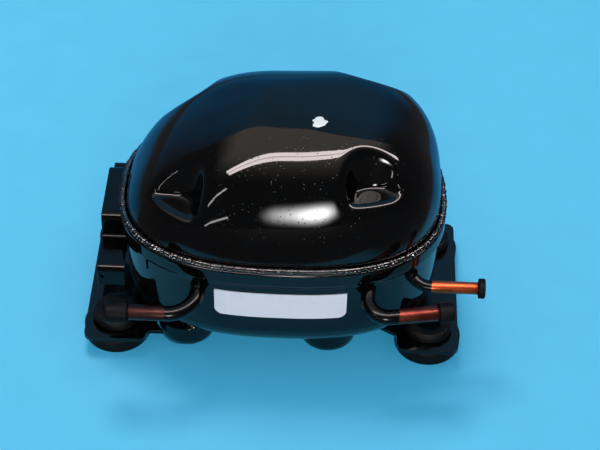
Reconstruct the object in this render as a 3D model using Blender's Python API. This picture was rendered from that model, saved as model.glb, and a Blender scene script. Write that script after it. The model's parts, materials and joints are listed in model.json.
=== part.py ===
"""Hermetic reciprocating compressor: welded steel shell, sprung pump and motor inside.

Metres. X runs along the base, Y away from the tube side, Z up. The origin is on the floor,
at the centre of the pattern of the four rubber feet.
"""

import math

import bmesh
import bpy
from mathutils import Matrix, Vector

# Clearance between pieces that seat on, or run in, one another
FIT_GAP = 0.0003

# Facets round the turned pieces
POCKET_SIDES = 28
CUP_SIDES = 18
HEADER_SIDES = 24
TERMINAL_PIN_SIDES = 10
STATOR_SIDES = 28
WINDING_SIDES = 24
BOLT_SIDES = 8
HEX_SIDES = 6
POST_SIDES = 10
HUB_SIDES = 20
SHAFT_SIDES = 24
OIL_SIDES = 16
PISTON_SIDES = 28
NECK_SIDES = 16
SLIDE_SIDES = 24
PORT_SIDES = 12

# Pattern of the four feet
FOOT_PITCH_X = 0.170
FOOT_PITCH_Y = 0.070

# Shell in plan: a rounded rectangle written as a superellipse
SHELL_X = 0.0037
SHELL_Y = -0.0010
SHELL_HALF_LENGTH = 0.0840
SHELL_HALF_WIDTH = 0.0610
SHELL_WALL = 0.0026
PLAN_SQUARENESS = 2.57
SHELL_SEGMENTS = 36

# Upper shell: fuller on the cylinder side (+X) than on the other
SEAM_Z = 0.0755
DOME_RISE = 0.0660
CROWN_SQUARENESS = 3.40
PROFILE_FULLNESS = 2.10
PROFILE_LEAN = 0.54
DOME_RINGS = 8
DOME_LAST_RING = math.radians(87)
SKIRT_DEPTH = 0.0100

# Four pockets pressed into the corners of the dome by leaning round punches, wider on the left
LEFT_POCKET_RADIUS = 0.0201
LEFT_POCKET_REACH_X = 0.0616
LEFT_POCKET_REACH_Y = 0.0491
LEFT_POCKET_SHELF_Z = 0.0980
LEFT_POCKET_LEAN = 0.16
RIGHT_POCKET_RADIUS = 0.0135
RIGHT_POCKET_REACH_X = 0.0476
RIGHT_POCKET_REACH_Y = 0.0480
RIGHT_POCKET_SHELF_Z = 0.1110
RIGHT_POCKET_LEAN = 0.24

# Lower shell: bell mouth, shoulder, tapered wall and rounded bottom
BELL_WALL = 0.0031
BELL_HEIGHT = 0.0080
SHOULDER_HEIGHT = 0.0035
SHOULDER_OUTSET = 0.0010
FOOT_INSET = 0.0005
SHELL_BOTTOM_Z = 0.0120
BOTTOM_FILLET = 0.0230
FILLET_STEPS = 4

# Weld bead in the corner between dome and bell mouth
BEAD_WIDTH = 0.0028
BEAD_HEIGHT = 0.0024

# Spring cups pressed into the bottom
CUP_RADIUS = 0.0140
CUP_BOTTOM_Z = 0.0031
CUP_FILLET = 0.0035
CUP_TOP_Z = 0.0300

# Base plates and rubber feet
PLATE_THICKNESS = 0.0025
PLATE_MARGIN_OUT = 0.0163
PLATE_MARGIN_IN = 0.0170
PLATE_MARGIN_FRONT = 0.0177
PLATE_MARGIN_BACK = 0.0149
PLATE_CORNER = 0.0045
PLATE_HOLE_RADIUS = 0.0098
PLATE_CUP_CLEARANCE = 0.0010
WEB_REACH = 0.0140
LEFT_WEB_OUTER_Y = 0.0457
LEFT_WEB_INNER_Y = 0.0457
RIGHT_WEB_OUTER_Y = 0.0411
RIGHT_WEB_INNER_Y = 0.0329
TONGUE_LENGTH = 0.0110
TONGUE_HALF_WIDTH = 0.0140
FOOT_RADIUS = 0.0178
FOOT_COLLAR_RADIUS = 0.0129
FOOT_COLLAR_HEIGHT = 0.0050
FOOT_HOLE_RADIUS = 0.0062
FOOT_EDGE = 0.0012
FOOT_SEGMENTS = 14

# Tubes: how far inside the shell's end they leave the wall, how much of the wall's own slant they leave at,
# how far they stand off, their run along X and how far it toes in towards the shell
TUBE_EXIT_Z = 0.0600
TUBE_RUN_Z = 0.0550
TUBE_INSERT = 0.0050
TUBE_HOLE_REACH = 0.0060
TUBE_SIDES = 8
BEND_STEPS = 4
SERVICE_TUBE_RADIUS = 0.0040
SERVICE_TUBE_BORE = 0.0031
DISCHARGE_TUBE_RADIUS = 0.00325
DISCHARGE_TUBE_BORE = 0.0025
PROCESS_EXIT_INSET = 0.0422
PROCESS_SLANT = 0.0
PROCESS_REACH = 0.0168
PROCESS_RUN = 0.0434
PROCESS_TOE = 0.0
PROCESS_BEND = 0.0150
SUCTION_EXIT_INSET = 0.0372
SUCTION_SLANT = 0.0
SUCTION_REACH = 0.0166
SUCTION_RUN = 0.0414
SUCTION_TOE = math.radians(10)
SUCTION_BEND = 0.0098
DISCHARGE_EXIT_INSET = 0.0140
DISCHARGE_SLANT = 1.0
DISCHARGE_REACH = 0.0040
DISCHARGE_RUN = 0.0343
DISCHARGE_TOE = 0.0
DISCHARGE_BEND = 0.0120

# Transit plugs in the tube ends
PROCESS_CAP_RADIUS = 0.0058
SUCTION_CAP_RADIUS = 0.0053
PROCESS_CAP_GRIP = 0.0085
SUCTION_CAP_GRIP = 0.0050
CAP_CROWN = 0.0030
STOPPER_RADIUS = 0.0053
STOPPER_HEAD = 0.0037
STOPPER_STEM = 0.0080
PLUG_SEGMENTS = 12

# Terminal and the hat-shaped bracket around it
TERMINAL_Y = 0.0020
TERMINAL_Z = 0.0480
HEADER_RADIUS = 0.0100
HEADER_FLANGE = 0.0022
HEADER_PROUD = 0.0030
PIN_CIRCLE = 0.0052
TERMINAL_PIN_RADIUS = 0.0012
TERMINAL_PIN_OUT = 0.0100
TERMINAL_PIN_IN = 0.0060
BRACKET_SHEET = 0.0020
BRACKET_DEPTH = 0.0122
BRACKET_INNER_DEPTH = 0.0020
BRACKET_TOP_Z = 0.0700
BRACKET_EAR_Z = 0.0560
BRACKET_EAR_DROP = 0.0125
BRACKET_HALF_TOP = 0.0210
BRACKET_FRONT_LENGTH = 0.0460
BRACKET_REAR_LENGTH = 0.0415
BRACKET_HOLE_RADIUS = 0.0016
BRACKET_HOLE_MARGIN = 0.0030

# Blank nameplate on the front wall
NAMEPLATE_LEFT_X = -0.0295
NAMEPLATE_RIGHT_X = 0.0395
NAMEPLATE_LOW_Z = 0.0420
NAMEPLATE_HIGH_Z = 0.0600
NAMEPLATE_THICKNESS = 0.0005
NAMEPLATE_CORNER = 0.0045
NAMEPLATE_COLUMNS = 14

# Crank axis and suspension; the springs stand under the corners of the motor
CRANK_X = -0.0075
SPRING_REACH_X = 0.0385
SPRING_REACH_Y = 0.0330
SPRING_RADIUS = 0.0075
SPRING_WIRE = 0.0011
SPRING_TURNS = 4
SPRING_STEPS = 8
SPRING_SIDES = 5
SEAT_RADIUS = 0.0090
SEAT_CORE_RADIUS = 0.0054
SEAT_FLANGE = 0.0025
SEAT_CORE_LENGTH = 0.0060
SEAT_SEGMENTS = 10

# Motor
STACK_BOTTOM_Z = 0.0380
STACK_HEIGHT = 0.0300
STATOR_HALF_X = 0.0470
STATOR_HALF_Y = 0.0420
STATOR_CORNER = 0.0120
STATOR_BORE = 0.0280
AIR_GAP = 0.0005
WINDING_RADIUS = 0.0392
WINDING_HEIGHT = 0.0095
ROTOR_COUNTERBORE = 0.0170
ROTOR_COUNTERBORE_DEPTH = 0.0090
STATOR_BOLT_RADIUS = 0.0024
STATOR_BOLT_HEAD_RADIUS = 0.0044
STATOR_BOLT_HEAD = 0.0040

# Crankcase
POST_RADIUS = 0.0075
POST_HEIGHT = 0.0120
CASE_HALF_X = 0.0460
CASE_HALF_Y = 0.0400
CASE_PLATE = 0.0080
CASE_CORNER = 0.0100
HUB_RADIUS = 0.0150
HUB_DROP = 0.0200

# Crankshaft
SHAFT_RADIUS = 0.0090
SHAFT_BOTTOM_Z = 0.0260
CRANK_THROW = 0.0080
CRANK_PIN_RADIUS = 0.0070
WEB_RADIUS = 0.0165
WEB_HEIGHT = 0.0047
COUNTERWEIGHT_RADIUS = 0.0220
COUNTERWEIGHT_HALF_ANGLE = math.radians(62)
OIL_BORE_RADIUS = 0.0050
OIL_BORE_DEPTH = 0.0080
PICKUP_TIP_RADIUS = 0.0030
PICKUP_LENGTH = 0.0065
GALLERY_RADIUS = 0.0024
GALLERY_DEPTH = 0.0080
GALLERY_PLUG_LENGTH = 0.0060

# Cylinder, piston with its slide tube, and slide block
CYLINDER_Z = 0.1070
BORE_RADIUS = 0.0123
BLOCK_HALF = 0.0170
BLOCK_FACE_X = 0.0407
SLIDE_TUBE_BORE = 0.0105
SLIDE_TUBE_WALL = 0.0030
SLIDE_TUBE_HALF = 0.0220
SLIDE_BLOCK_HALF = 0.0120
PISTON_LENGTH = 0.0165
PISTON_NECK_RADIUS = 0.0075
CROWN_CLEARANCE = 0.0005
TUBE_BLOCK_CLEARANCE = 0.0020

# Valve plate, reeds, gasket, head and its bolts
VALVE_PLATE = 0.0030
REED = 0.0004
REED_HALF_WIDTH = 0.0034
REED_LENGTH = 0.0160
REED_ROOT = 0.0084
REED_POCKET = 0.0026
PORT_RADIUS = 0.0022
PORT_SPACING = 0.0045
GASKET = 0.0010
HEAD_HALF = 0.0155
HEAD_DEPTH = 0.0124
HEAD_WALL = 0.0028
HEAD_ROOF = 0.0034
HEAD_RIB = 0.0016
HEAD_BOLT_REACH = 0.0122
HEAD_BOLT_RADIUS = 0.0016
HEAD_BOLT_HEAD_RADIUS = 0.0030
HEAD_BOLT_HEAD = 0.0028
HEAD_BOLT_GRIP = 0.0080

# Suction muffler and the discharge line
MUFFLER_LENGTH = 0.0240
MUFFLER_WIDTH = 0.0220
MUFFLER_HEIGHT = 0.0150
MUFFLER_BEVEL = 0.0030
MUFFLER_NECK = 0.0060
LINE_RADIUS = 0.0018
LINE_SIDES = 6
LINE_INSERT = 0.0030
LINE_STEP = 0.0105
LINE_STUB = 0.0060
LINE_CORNER = 0.0165
LINE_LOOP = 0.0100

CRANK_Y = SHELL_Y
TURN = 2 * math.pi
X_AXIS = Vector((1, 0, 0))
Y_AXIS = Vector((0, 1, 0))
Z_AXIS = Vector((0, 0, 1))

# Heights that follow from the sizes above
BELL_LOW_Z = SEAM_Z - BELL_HEIGHT
SHOULDER_Z = BELL_LOW_Z - SHOULDER_HEIGHT
PLATE_TOP_Z = SHELL_BOTTOM_Z - FIT_GAP
PLATE_LOW_Z = PLATE_TOP_Z - PLATE_THICKNESS
STACK_TOP_Z = STACK_BOTTOM_Z + STACK_HEIGHT
CASE_LOW_Z = STACK_TOP_Z + FIT_GAP + POST_HEIGHT
CASE_TOP_Z = CASE_LOW_Z + CASE_PLATE
WEB_LOW_Z = CASE_TOP_Z + FIT_GAP
WEB_TOP_Z = WEB_LOW_Z + WEB_HEIGHT
SLIDE_TUBE_RADIUS = SLIDE_TUBE_BORE + SLIDE_TUBE_WALL
SLIDE_BLOCK_RADIUS = SLIDE_TUBE_BORE - FIT_GAP
CRANK_PIN_RISE = math.sqrt(SLIDE_BLOCK_RADIUS ** 2 - CRANK_PIN_RADIUS ** 2) - FIT_GAP
CRANK_PIN_TOP_Z = CYLINDER_Z + CRANK_PIN_RISE
SPRING_PLACES = {
    "front_left": (CRANK_X - SPRING_REACH_X, CRANK_Y - SPRING_REACH_Y),
    "front_right": (CRANK_X + SPRING_REACH_X, CRANK_Y - SPRING_REACH_Y),
    "rear_left": (CRANK_X - SPRING_REACH_X, CRANK_Y + SPRING_REACH_Y),
    "rear_right": (CRANK_X + SPRING_REACH_X, CRANK_Y + SPRING_REACH_Y),
}


def finish(name, colour, roughness, metallic):
    look = bpy.data.materials.new(name)
    look.use_nodes = True
    shader = look.node_tree.nodes["Principled BSDF"]
    shader.inputs["Base Color"].default_value = (*colour, 1)
    shader.inputs["Roughness"].default_value = roughness
    shader.inputs["Metallic"].default_value = metallic
    look.diffuse_color = (*colour, 1)
    return look


def clear_scene():
    for thing in list(bpy.data.objects):
        bpy.data.objects.remove(thing)


def pivot(name, place, parent=None):
    """An empty on a joint's axis, which carries the pieces that move about it."""
    empty = bpy.data.objects.new(name, None)
    empty.empty_display_size = 0.01
    bpy.context.collection.objects.link(empty)
    base = Vector(parent.matrix_world.translation) if parent else Vector()
    empty.parent = parent
    empty.location = Vector(place) - base
    bpy.context.view_layer.update()
    return empty


def mesh_object(name, points, faces):
    mesh = bpy.data.meshes.new(name)
    mesh.from_pydata([tuple(p) for p in points], [], faces)
    work = bmesh.new()
    work.from_mesh(mesh)
    bmesh.ops.recalc_face_normals(work, faces=work.faces)
    bmesh.ops.connect_verts_nonplanar(work, angle_limit=math.radians(0.05), faces=work.faces)
    work.to_mesh(mesh)
    work.free()
    piece = bpy.data.objects.new(name, mesh)
    bpy.context.collection.objects.link(piece)
    return piece


def loft(name, loops, ring=False):
    """Skin a row of closed loops; a ring joins the last to the first, else both ends are capped."""
    count = len(loops[0])
    points = [p for loop in loops for p in loop]
    faces = []
    rows = len(loops) if ring else len(loops) - 1
    for row in range(rows):
        low, high = row * count, ((row + 1) % len(loops)) * count
        for k in range(count):
            nxt = (k + 1) % count
            faces.append((low + k, low + nxt, high + nxt, high + k))
    if not ring:
        faces.append(tuple(range(count)))
        faces.append(tuple(range((len(loops) - 1) * count, len(loops) * count)))
    return mesh_object(name, points, faces)


def turned(name, profile, place, axis=Z_AXIS, segments=20, ring=True):
    """Turn a profile of (radius, height) about an axis through place."""
    turn = Z_AXIS.rotation_difference(axis).to_matrix()
    loops = []
    for radius, height in profile:
        loop = []
        for k in range(segments):
            angle = TURN * (k + 0.5) / segments
            local = Vector((radius * math.cos(angle), radius * math.sin(angle), height))
            loop.append(Vector(place) + turn @ local)
        loops.append(loop)
    return loft(name, loops, ring)


def rod(name, radius, start, end, segments=16):
    along = Vector(end) - Vector(start)
    return turned(name, [(radius, 0), (radius, along.length)], start, along.normalized(), segments, False)


def prism(name, outline, low_z, high_z):
    return loft(name, [[Vector((x, y, z)) for x, y in outline] for z in (low_z, high_z)])


def block(name, low, high):
    outline = [(low[0], low[1]), (high[0], low[1]), (high[0], high[1]), (low[0], high[1])]
    return prism(name, outline, low[2], high[2])


def rounded_rectangle(half_x, half_y, corner, centre, steps=4):
    outline = []
    for quarter, (sx, sy) in enumerate(((1, 1), (-1, 1), (-1, -1), (1, -1))):
        for k in range(steps + 1):
            angle = (quarter + k / steps) * math.pi / 2
            outline.append((centre[0] + sx * (half_x - corner) + corner * math.cos(angle),
                            centre[1] + sy * (half_y - corner) + corner * math.sin(angle)))
    return outline


def swept_loops(path, radius, sides):
    """Circles across a path, each turned from the last by the least rotation."""
    path = [Vector(p) for p in path]
    tangents = []
    for k, _ in enumerate(path):
        ahead, behind = path[min(k + 1, len(path) - 1)], path[max(k - 1, 0)]
        tangents.append((ahead - behind).normalized())
    across = tangents[0].orthogonal().normalized()
    loops = []
    for k, point in enumerate(path):
        if k:
            across = tangents[k - 1].rotation_difference(tangents[k]) @ across
        beside = tangents[k].cross(across)
        angles = [TURN * (j + 0.5) / sides for j in range(sides)]
        loops.append([point + radius * (across * math.cos(a) + beside * math.sin(a)) for a in angles])
    return loops


def boolean(target, tool, operation="DIFFERENCE"):
    """Apply one Boolean step and drop its tool."""
    step = target.modifiers.new("step", "BOOLEAN")
    step.operation = operation
    step.object = tool
    step.solver = "EXACT"
    scene_state = bpy.context.evaluated_depsgraph_get()
    result = bpy.data.meshes.new_from_object(target.evaluated_get(scene_state))
    target.modifiers.remove(step)
    target.data = result
    bpy.data.objects.remove(tool)
    return target


def join(target, *tools):
    for tool in tools:
        boolean(target, tool, "UNION")
    return target


def cut(target, *tools):
    for tool in tools:
        boolean(target, tool, "DIFFERENCE")
    return target


def settle(piece, look, origin=(0, 0, 0), parent=None, sharp=40):
    """Give a piece its finish, its shading, its origin and the empty that carries it."""
    work = bmesh.new()
    work.from_mesh(piece.data)
    bmesh.ops.dissolve_limit(work, angle_limit=math.radians(0.05), verts=work.verts, edges=work.edges)
    bmesh.ops.triangulate(work, faces=work.faces)
    work.to_mesh(piece.data)
    work.free()
    piece.data.name = piece.name
    piece.data.materials.clear()
    piece.data.materials.append(look)
    piece.data.shade_smooth()
    piece.data.set_sharp_from_angle(angle=math.radians(sharp))
    piece.data.transform(Matrix.Translation(-Vector(origin)))
    base = parent.matrix_world.translation if parent else Vector()
    piece.parent = parent
    piece.location = Vector(origin) - base
    return piece


# The shell's plan and wall

def plan_point(half_length, half_width, squareness, angle):
    c, s = math.cos(angle), math.sin(angle)
    power = 2 / squareness
    return (SHELL_X + half_length * math.copysign(abs(c) ** power, c),
            SHELL_Y + half_width * math.copysign(abs(s) ** power, s))


def plan_loop(grow, z, squareness=PLAN_SQUARENESS):
    angles = [TURN * k / SHELL_SEGMENTS for k in range(SHELL_SEGMENTS)]
    loop = [plan_point(SHELL_HALF_LENGTH + grow, SHELL_HALF_WIDTH + grow, squareness, a) for a in angles]
    return [Vector((x, y, z)) for x, y in loop]


def wall_outset(z):
    """How far the lower shell's tapered wall stands outside the dome's skirt at height z."""
    foot_z = SHELL_BOTTOM_Z + BOTTOM_FILLET
    share = (z - foot_z) / (SHOULDER_Z - foot_z)
    return -FOOT_INSET + share * (SHOULDER_OUTSET + FOOT_INSET)


def front_wall_y(x, z, proud=0.0):
    """Y of the lower shell's outer wall on the tube side."""
    grow = wall_outset(z) + proud
    share = abs(x - SHELL_X) / (SHELL_HALF_LENGTH + grow)
    depth = (1 - share ** PLAN_SQUARENESS) ** (1 / PLAN_SQUARENESS)
    return SHELL_Y - (SHELL_HALF_WIDTH + grow) * depth


def front_wall_normal(x, z):
    step = 1e-4
    slope = (front_wall_y(x + step, z) - front_wall_y(x - step, z)) / (2 * step)
    return Vector((slope, -1, 0)).normalized()


def left_wall_x(y, z, proud=0.0):
    grow = wall_outset(z) + proud
    share = abs(y - SHELL_Y) / (SHELL_HALF_WIDTH + grow)
    depth = (1 - share ** PLAN_SQUARENESS) ** (1 / PLAN_SQUARENESS)
    return SHELL_X - (SHELL_HALF_LENGTH + grow) * depth


def dome_solid(name, inset, skirt_low_z):
    """The dome as a full solid, shrunk all round by inset, on its straight skirt."""
    loops = [plan_loop(-inset, skirt_low_z)]
    for ring in range(DOME_RINGS + 1):
        lift = DOME_LAST_RING * ring / DOME_RINGS
        loop = []
        for k in range(SHELL_SEGMENTS):
            angle = TURN * k / SHELL_SEGMENTS
            power = 2 / (PROFILE_FULLNESS + PROFILE_LEAN * math.cos(angle))
            reach, rise = math.cos(lift) ** power, math.sin(lift) ** power
            square = PLAN_SQUARENESS + (CROWN_SQUARENESS - PLAN_SQUARENESS) * rise
            x, y = plan_point((SHELL_HALF_LENGTH - inset) * reach,
                              (SHELL_HALF_WIDTH - inset) * reach, square, angle)
            loop.append(Vector((x, y, SEAM_Z + (DOME_RISE - inset) * rise)))
        loops.append(loop)
    return loft(name, loops)


def pocket_tools(grow):
    """Round punches that widen upwards and form the four corner pockets, grown all round by grow."""
    above = SEAM_Z + 2 * DOME_RISE
    left = (-LEFT_POCKET_REACH_X, LEFT_POCKET_REACH_Y, LEFT_POCKET_RADIUS, LEFT_POCKET_SHELF_Z,
            LEFT_POCKET_LEAN)
    right = (RIGHT_POCKET_REACH_X, RIGHT_POCKET_REACH_Y, RIGHT_POCKET_RADIUS, RIGHT_POCKET_SHELF_Z,
             RIGHT_POCKET_LEAN)
    for reach_x, reach_y, radius, shelf, lean in (left, right):
        low = shelf - grow
        profile = [(radius + grow, low), (radius + grow + lean * (above - low), above)]
        for side in (-1, 1):
            place = (SHELL_X + reach_x, SHELL_Y + side * reach_y, 0)
            yield turned("pocket", profile, place, segments=POCKET_SIDES, ring=False)


def bowl_solid(name, inset, mouth):
    """The lower shell as a full solid; mouth is a row of (outset, z) above the wall."""
    fillet = BOTTOM_FILLET - inset
    loops = []
    for k in range(FILLET_STEPS + 1):
        angle = math.pi / 2 * k / FILLET_STEPS
        out = -FOOT_INSET - inset - fillet * (1 - math.sin(angle))
        loops.append(plan_loop(out, SHELL_BOTTOM_Z + inset + fillet * (1 - math.cos(angle))))
    loops += [plan_loop(out, z) for out, z in mouth]
    return loft(name, loops)


def outer_bowl(name, proud=0.0):
    bell = FIT_GAP + BELL_WALL
    mouth = [(SHOULDER_OUTSET + proud, SHOULDER_Z), (bell + proud, BELL_LOW_Z), (bell + proud, SEAM_Z)]
    return bowl_solid(name, -proud, mouth)


def cup_tool(name, place, inset):
    fillet = CUP_FILLET - inset / 2
    nick = fillet * (1 - math.sqrt(0.5))
    radius, low = CUP_RADIUS - inset, CUP_BOTTOM_Z + inset
    profile = [(radius - fillet, low), (radius - nick, low + nick), (radius, low + fillet),
               (radius, CUP_TOP_Z)]
    return turned(name, profile, (*place, 0), segments=CUP_SIDES, ring=False)


def build_shell(paint, weld):
    ledge_z = SEAM_Z - SKIRT_DEPTH
    upper = cut(dome_solid("upper_shell", 0.0, ledge_z), *pocket_tools(0.0))
    hollow = cut(dome_solid("hollow", SHELL_WALL, ledge_z - SKIRT_DEPTH), *pocket_tools(SHELL_WALL))
    settle(cut(upper, hollow), paint)

    inner_top = SHOULDER_OUTSET - SHELL_WALL
    seat_z = ledge_z - FIT_GAP
    mouth = [(inner_top, SHOULDER_Z), (inner_top, seat_z), (FIT_GAP, seat_z), (FIT_GAP, SEAM_Z + BELL_WALL)]
    lower = join(outer_bowl("lower_shell"), *[cup_tool("cup", p, 0.0) for p in SPRING_PLACES.values()])
    cavity = bowl_solid("cavity", SHELL_WALL, mouth)
    join(cavity, *[cup_tool("cup", p, SHELL_WALL) for p in SPRING_PLACES.values()])
    cut(lower, cavity)
    for route in tube_routes().values():
        inside, outside = Vector(route["wall_in"]), Vector(route["wall_out"])
        cut(lower, rod("tube_hole", route["radius"] + FIT_GAP, inside, outside))
    wall_x = left_wall_x(TERMINAL_Y, TERMINAL_Z)
    through = HEADER_RADIUS
    cut(lower, rod("header_hole", HEADER_RADIUS + FIT_GAP, (wall_x - through, TERMINAL_Y, TERMINAL_Z),
                   (wall_x + through, TERMINAL_Y, TERMINAL_Z), HEADER_SIDES))
    settle(lower, paint)

    section = ((0.0, 0.0), (0.75, 0.0), (1.0, 0.3), (0.85, 0.75), (0.4, 1.0), (0.0, 0.8))
    bead = [plan_loop(FIT_GAP + BEAD_WIDTH * out, SEAM_Z + FIT_GAP + BEAD_HEIGHT * up) for out, up in section]
    settle(loft("shell_weld", bead, ring=True), weld, sharp=60)


# Base plates and rubber feet

def plate_outline(side):
    hole_x, hole_y = FOOT_PITCH_X / 2, FOOT_PITCH_Y / 2
    outer, tab = hole_x + PLATE_MARGIN_OUT, hole_x - PLATE_MARGIN_IN
    front, back = -hole_y - PLATE_MARGIN_FRONT, hole_y + PLATE_MARGIN_BACK
    cup = side * (CRANK_X + side * SPRING_REACH_X)
    waist = cup + CUP_RADIUS + PLATE_CUP_CLEARANCE
    tongue = waist - TONGUE_LENGTH
    c = PLATE_CORNER
    web_y, web_end_y = LEFT_WEB_OUTER_Y, LEFT_WEB_INNER_Y
    if side > 0:
        web_y, web_end_y = RIGHT_WEB_OUTER_Y, RIGHT_WEB_INNER_Y
    half = [(tab, back - c), (tab, min(web_y, back - c)), (tab - WEB_REACH, web_end_y),
            (waist, TONGUE_HALF_WIDTH), (tongue, TONGUE_HALF_WIDTH)]
    outline = [(tab + c, front), (outer - c, front), (outer, front + c), (outer, back - c),
               (outer - c, back), (tab + c, back)]
    outline += half
    outline += [(x, -y) for x, y in reversed(half[1:])]
    outline += [(tab, front + c)]
    corners = []
    for x, y in outline:
        if not corners or (x, y) != corners[-1]:
            corners.append((x, y))
    return [(side * x, y) for x, y in corners]


def build_base(paint, rubber):
    low, high = PLATE_LOW_Z, PLATE_TOP_Z
    for name, side in (("left_base_plate", -1), ("right_base_plate", 1)):
        plate = prism(name, plate_outline(side), low, high)
        for row in (-1, 1):
            x, y = side * FOOT_PITCH_X / 2, row * FOOT_PITCH_Y / 2
            cut(plate, rod("foot_hole", PLATE_HOLE_RADIUS, (x, y, low - FIT_GAP), (x, y, high + FIT_GAP)))
        for x, y in SPRING_PLACES.values():
            cut(plate, rod("cup_space", CUP_RADIUS + PLATE_CUP_CLEARANCE, (x, y, low - FIT_GAP),
                           (x, y, high + FIT_GAP), CUP_SIDES))
        settle(plate, paint, (side * FOOT_PITCH_X / 2, 0, low))

    neck = PLATE_HOLE_RADIUS - FIT_GAP
    flange_top, collar_low = low - FIT_GAP, high + FIT_GAP
    collar_top = collar_low + FOOT_COLLAR_HEIGHT
    edge = FOOT_EDGE
    profile = [(FOOT_HOLE_RADIUS, collar_top - edge), (FOOT_HOLE_RADIUS, 0), (FOOT_RADIUS - edge, 0),
               (FOOT_RADIUS, edge), (FOOT_RADIUS, flange_top - 2 * edge),
               (FOOT_RADIUS - 2 * edge, flange_top),
               (neck, flange_top), (neck, collar_low), (FOOT_COLLAR_RADIUS, collar_low),
               (FOOT_COLLAR_RADIUS, collar_top - edge), (FOOT_COLLAR_RADIUS - edge, collar_top),
               (FOOT_HOLE_RADIUS + edge, collar_top)]
    for row, row_name in ((-1, "front"), (1, "rear")):
        for side, side_name in ((-1, "left"), (1, "right")):
            place = (side * FOOT_PITCH_X / 2, row * FOOT_PITCH_Y / 2, 0)
            foot = turned(f"{row_name}_{side_name}_grommet", profile, place, segments=FOOT_SEGMENTS)
            settle(foot, rubber, place)


# Tubes through the wall, with their transit plugs

def rounded_bend(start, corner, end, radius):
    """A straight run, an arc of the given radius and another straight run."""
    start, corner, end = Vector(start), Vector(corner), Vector(end)
    to_start, to_end = (start - corner).normalized(), (end - corner).normalized()
    half = to_start.angle(to_end) / 2
    setback = radius / math.tan(half)
    centre = corner + (to_start + to_end).normalized() * (radius / math.sin(half))
    first, last = corner + to_start * setback - centre, corner + to_end * setback - centre
    arc = [centre + first.slerp(last, k / BEND_STEPS).normalized() * radius for k in range(BEND_STEPS + 1)]
    return [start, *arc, end]


def tube_routes():
    """Path, size and wall passage of each tube, from where it leaves the wall."""
    rows = {
        "process_tube": (-1, PROCESS_EXIT_INSET, PROCESS_SLANT, PROCESS_REACH, PROCESS_RUN, PROCESS_TOE,
                         PROCESS_BEND, SERVICE_TUBE_RADIUS, SERVICE_TUBE_BORE),
        "suction_tube": (1, SUCTION_EXIT_INSET, SUCTION_SLANT, SUCTION_REACH, SUCTION_RUN, SUCTION_TOE,
                         SUCTION_BEND, SERVICE_TUBE_RADIUS, SERVICE_TUBE_BORE),
        "discharge_tube": (1, DISCHARGE_EXIT_INSET, DISCHARGE_SLANT, DISCHARGE_REACH, DISCHARGE_RUN,
                           DISCHARGE_TOE, DISCHARGE_BEND, DISCHARGE_TUBE_RADIUS, DISCHARGE_TUBE_BORE),
    }
    routes = {}
    for name, (way, inset, slant, reach, run, toe, bend, radius, bore) in rows.items():
        exit_x = SHELL_X + way * (SHELL_HALF_LENGTH - inset)
        leave = Vector((exit_x, front_wall_y(exit_x, TUBE_EXIT_Z), TUBE_EXIT_Z))
        square = front_wall_normal(exit_x, TUBE_EXIT_Z)
        outward = Vector((slant * square.x, square.y, 0)).normalized()
        start = leave - outward * TUBE_INSERT
        corner = leave + outward * (reach / -outward.y)
        corner.z = TUBE_RUN_Z
        along = Vector((way * math.cos(toe), math.sin(toe), 0))
        end = corner + along * ((exit_x + way * run - corner.x) / along.x)
        path = rounded_bend(start, corner, end, bend)
        down = (path[1] - path[0]).normalized()
        routes[name] = {"path": path, "radius": radius, "bore": bore, "end": end, "start": start,
                        "along": along,
                        "wall_in": start - down * SHELL_WALL,
                        "wall_out": start + down * (TUBE_INSERT + TUBE_HOLE_REACH)}
    return routes


def build_tubes(copper, plug_rubber):
    for name, route in tube_routes().items():
        outer = swept_loops(route["path"], route["radius"], TUBE_SIDES)
        inner = swept_loops(route["path"], route["bore"], TUBE_SIDES)
        settle(loft(name, outer + inner[::-1], ring=True), copper, sharp=60)

    routes = tube_routes()
    for name, tube, radius, grip in (("process_plug", "process_tube", PROCESS_CAP_RADIUS, PROCESS_CAP_GRIP),
                                     ("suction_plug", "suction_tube", SUCTION_CAP_RADIUS, SUCTION_CAP_GRIP)):
        route = routes[tube]
        inner = route["radius"] + FIT_GAP
        edge = (radius - inner) / 2
        profile = [(inner, FIT_GAP), (inner, -grip), (radius, -grip), (radius, CAP_CROWN - edge),
                   (radius - edge, CAP_CROWN)]
        plug = turned(name, profile, route["end"], route["along"], PLUG_SEGMENTS, ring=False)
        settle(plug, plug_rubber, route["end"])

    route = routes["discharge_tube"]
    stem = route["bore"] * math.cos(math.pi / TUBE_SIDES) - FIT_GAP
    edge = STOPPER_HEAD / 6
    profile = [(stem, -STOPPER_STEM), (stem, FIT_GAP), (STOPPER_RADIUS - edge, FIT_GAP),
               (STOPPER_RADIUS, FIT_GAP + edge), (STOPPER_RADIUS, STOPPER_HEAD - edge),
               (STOPPER_RADIUS - edge, STOPPER_HEAD)]
    stopper = turned("discharge_plug", profile, route["end"], route["along"], PLUG_SEGMENTS, ring=False)
    settle(stopper, plug_rubber, route["end"])


# Terminal, its bracket and the blank nameplate

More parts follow.
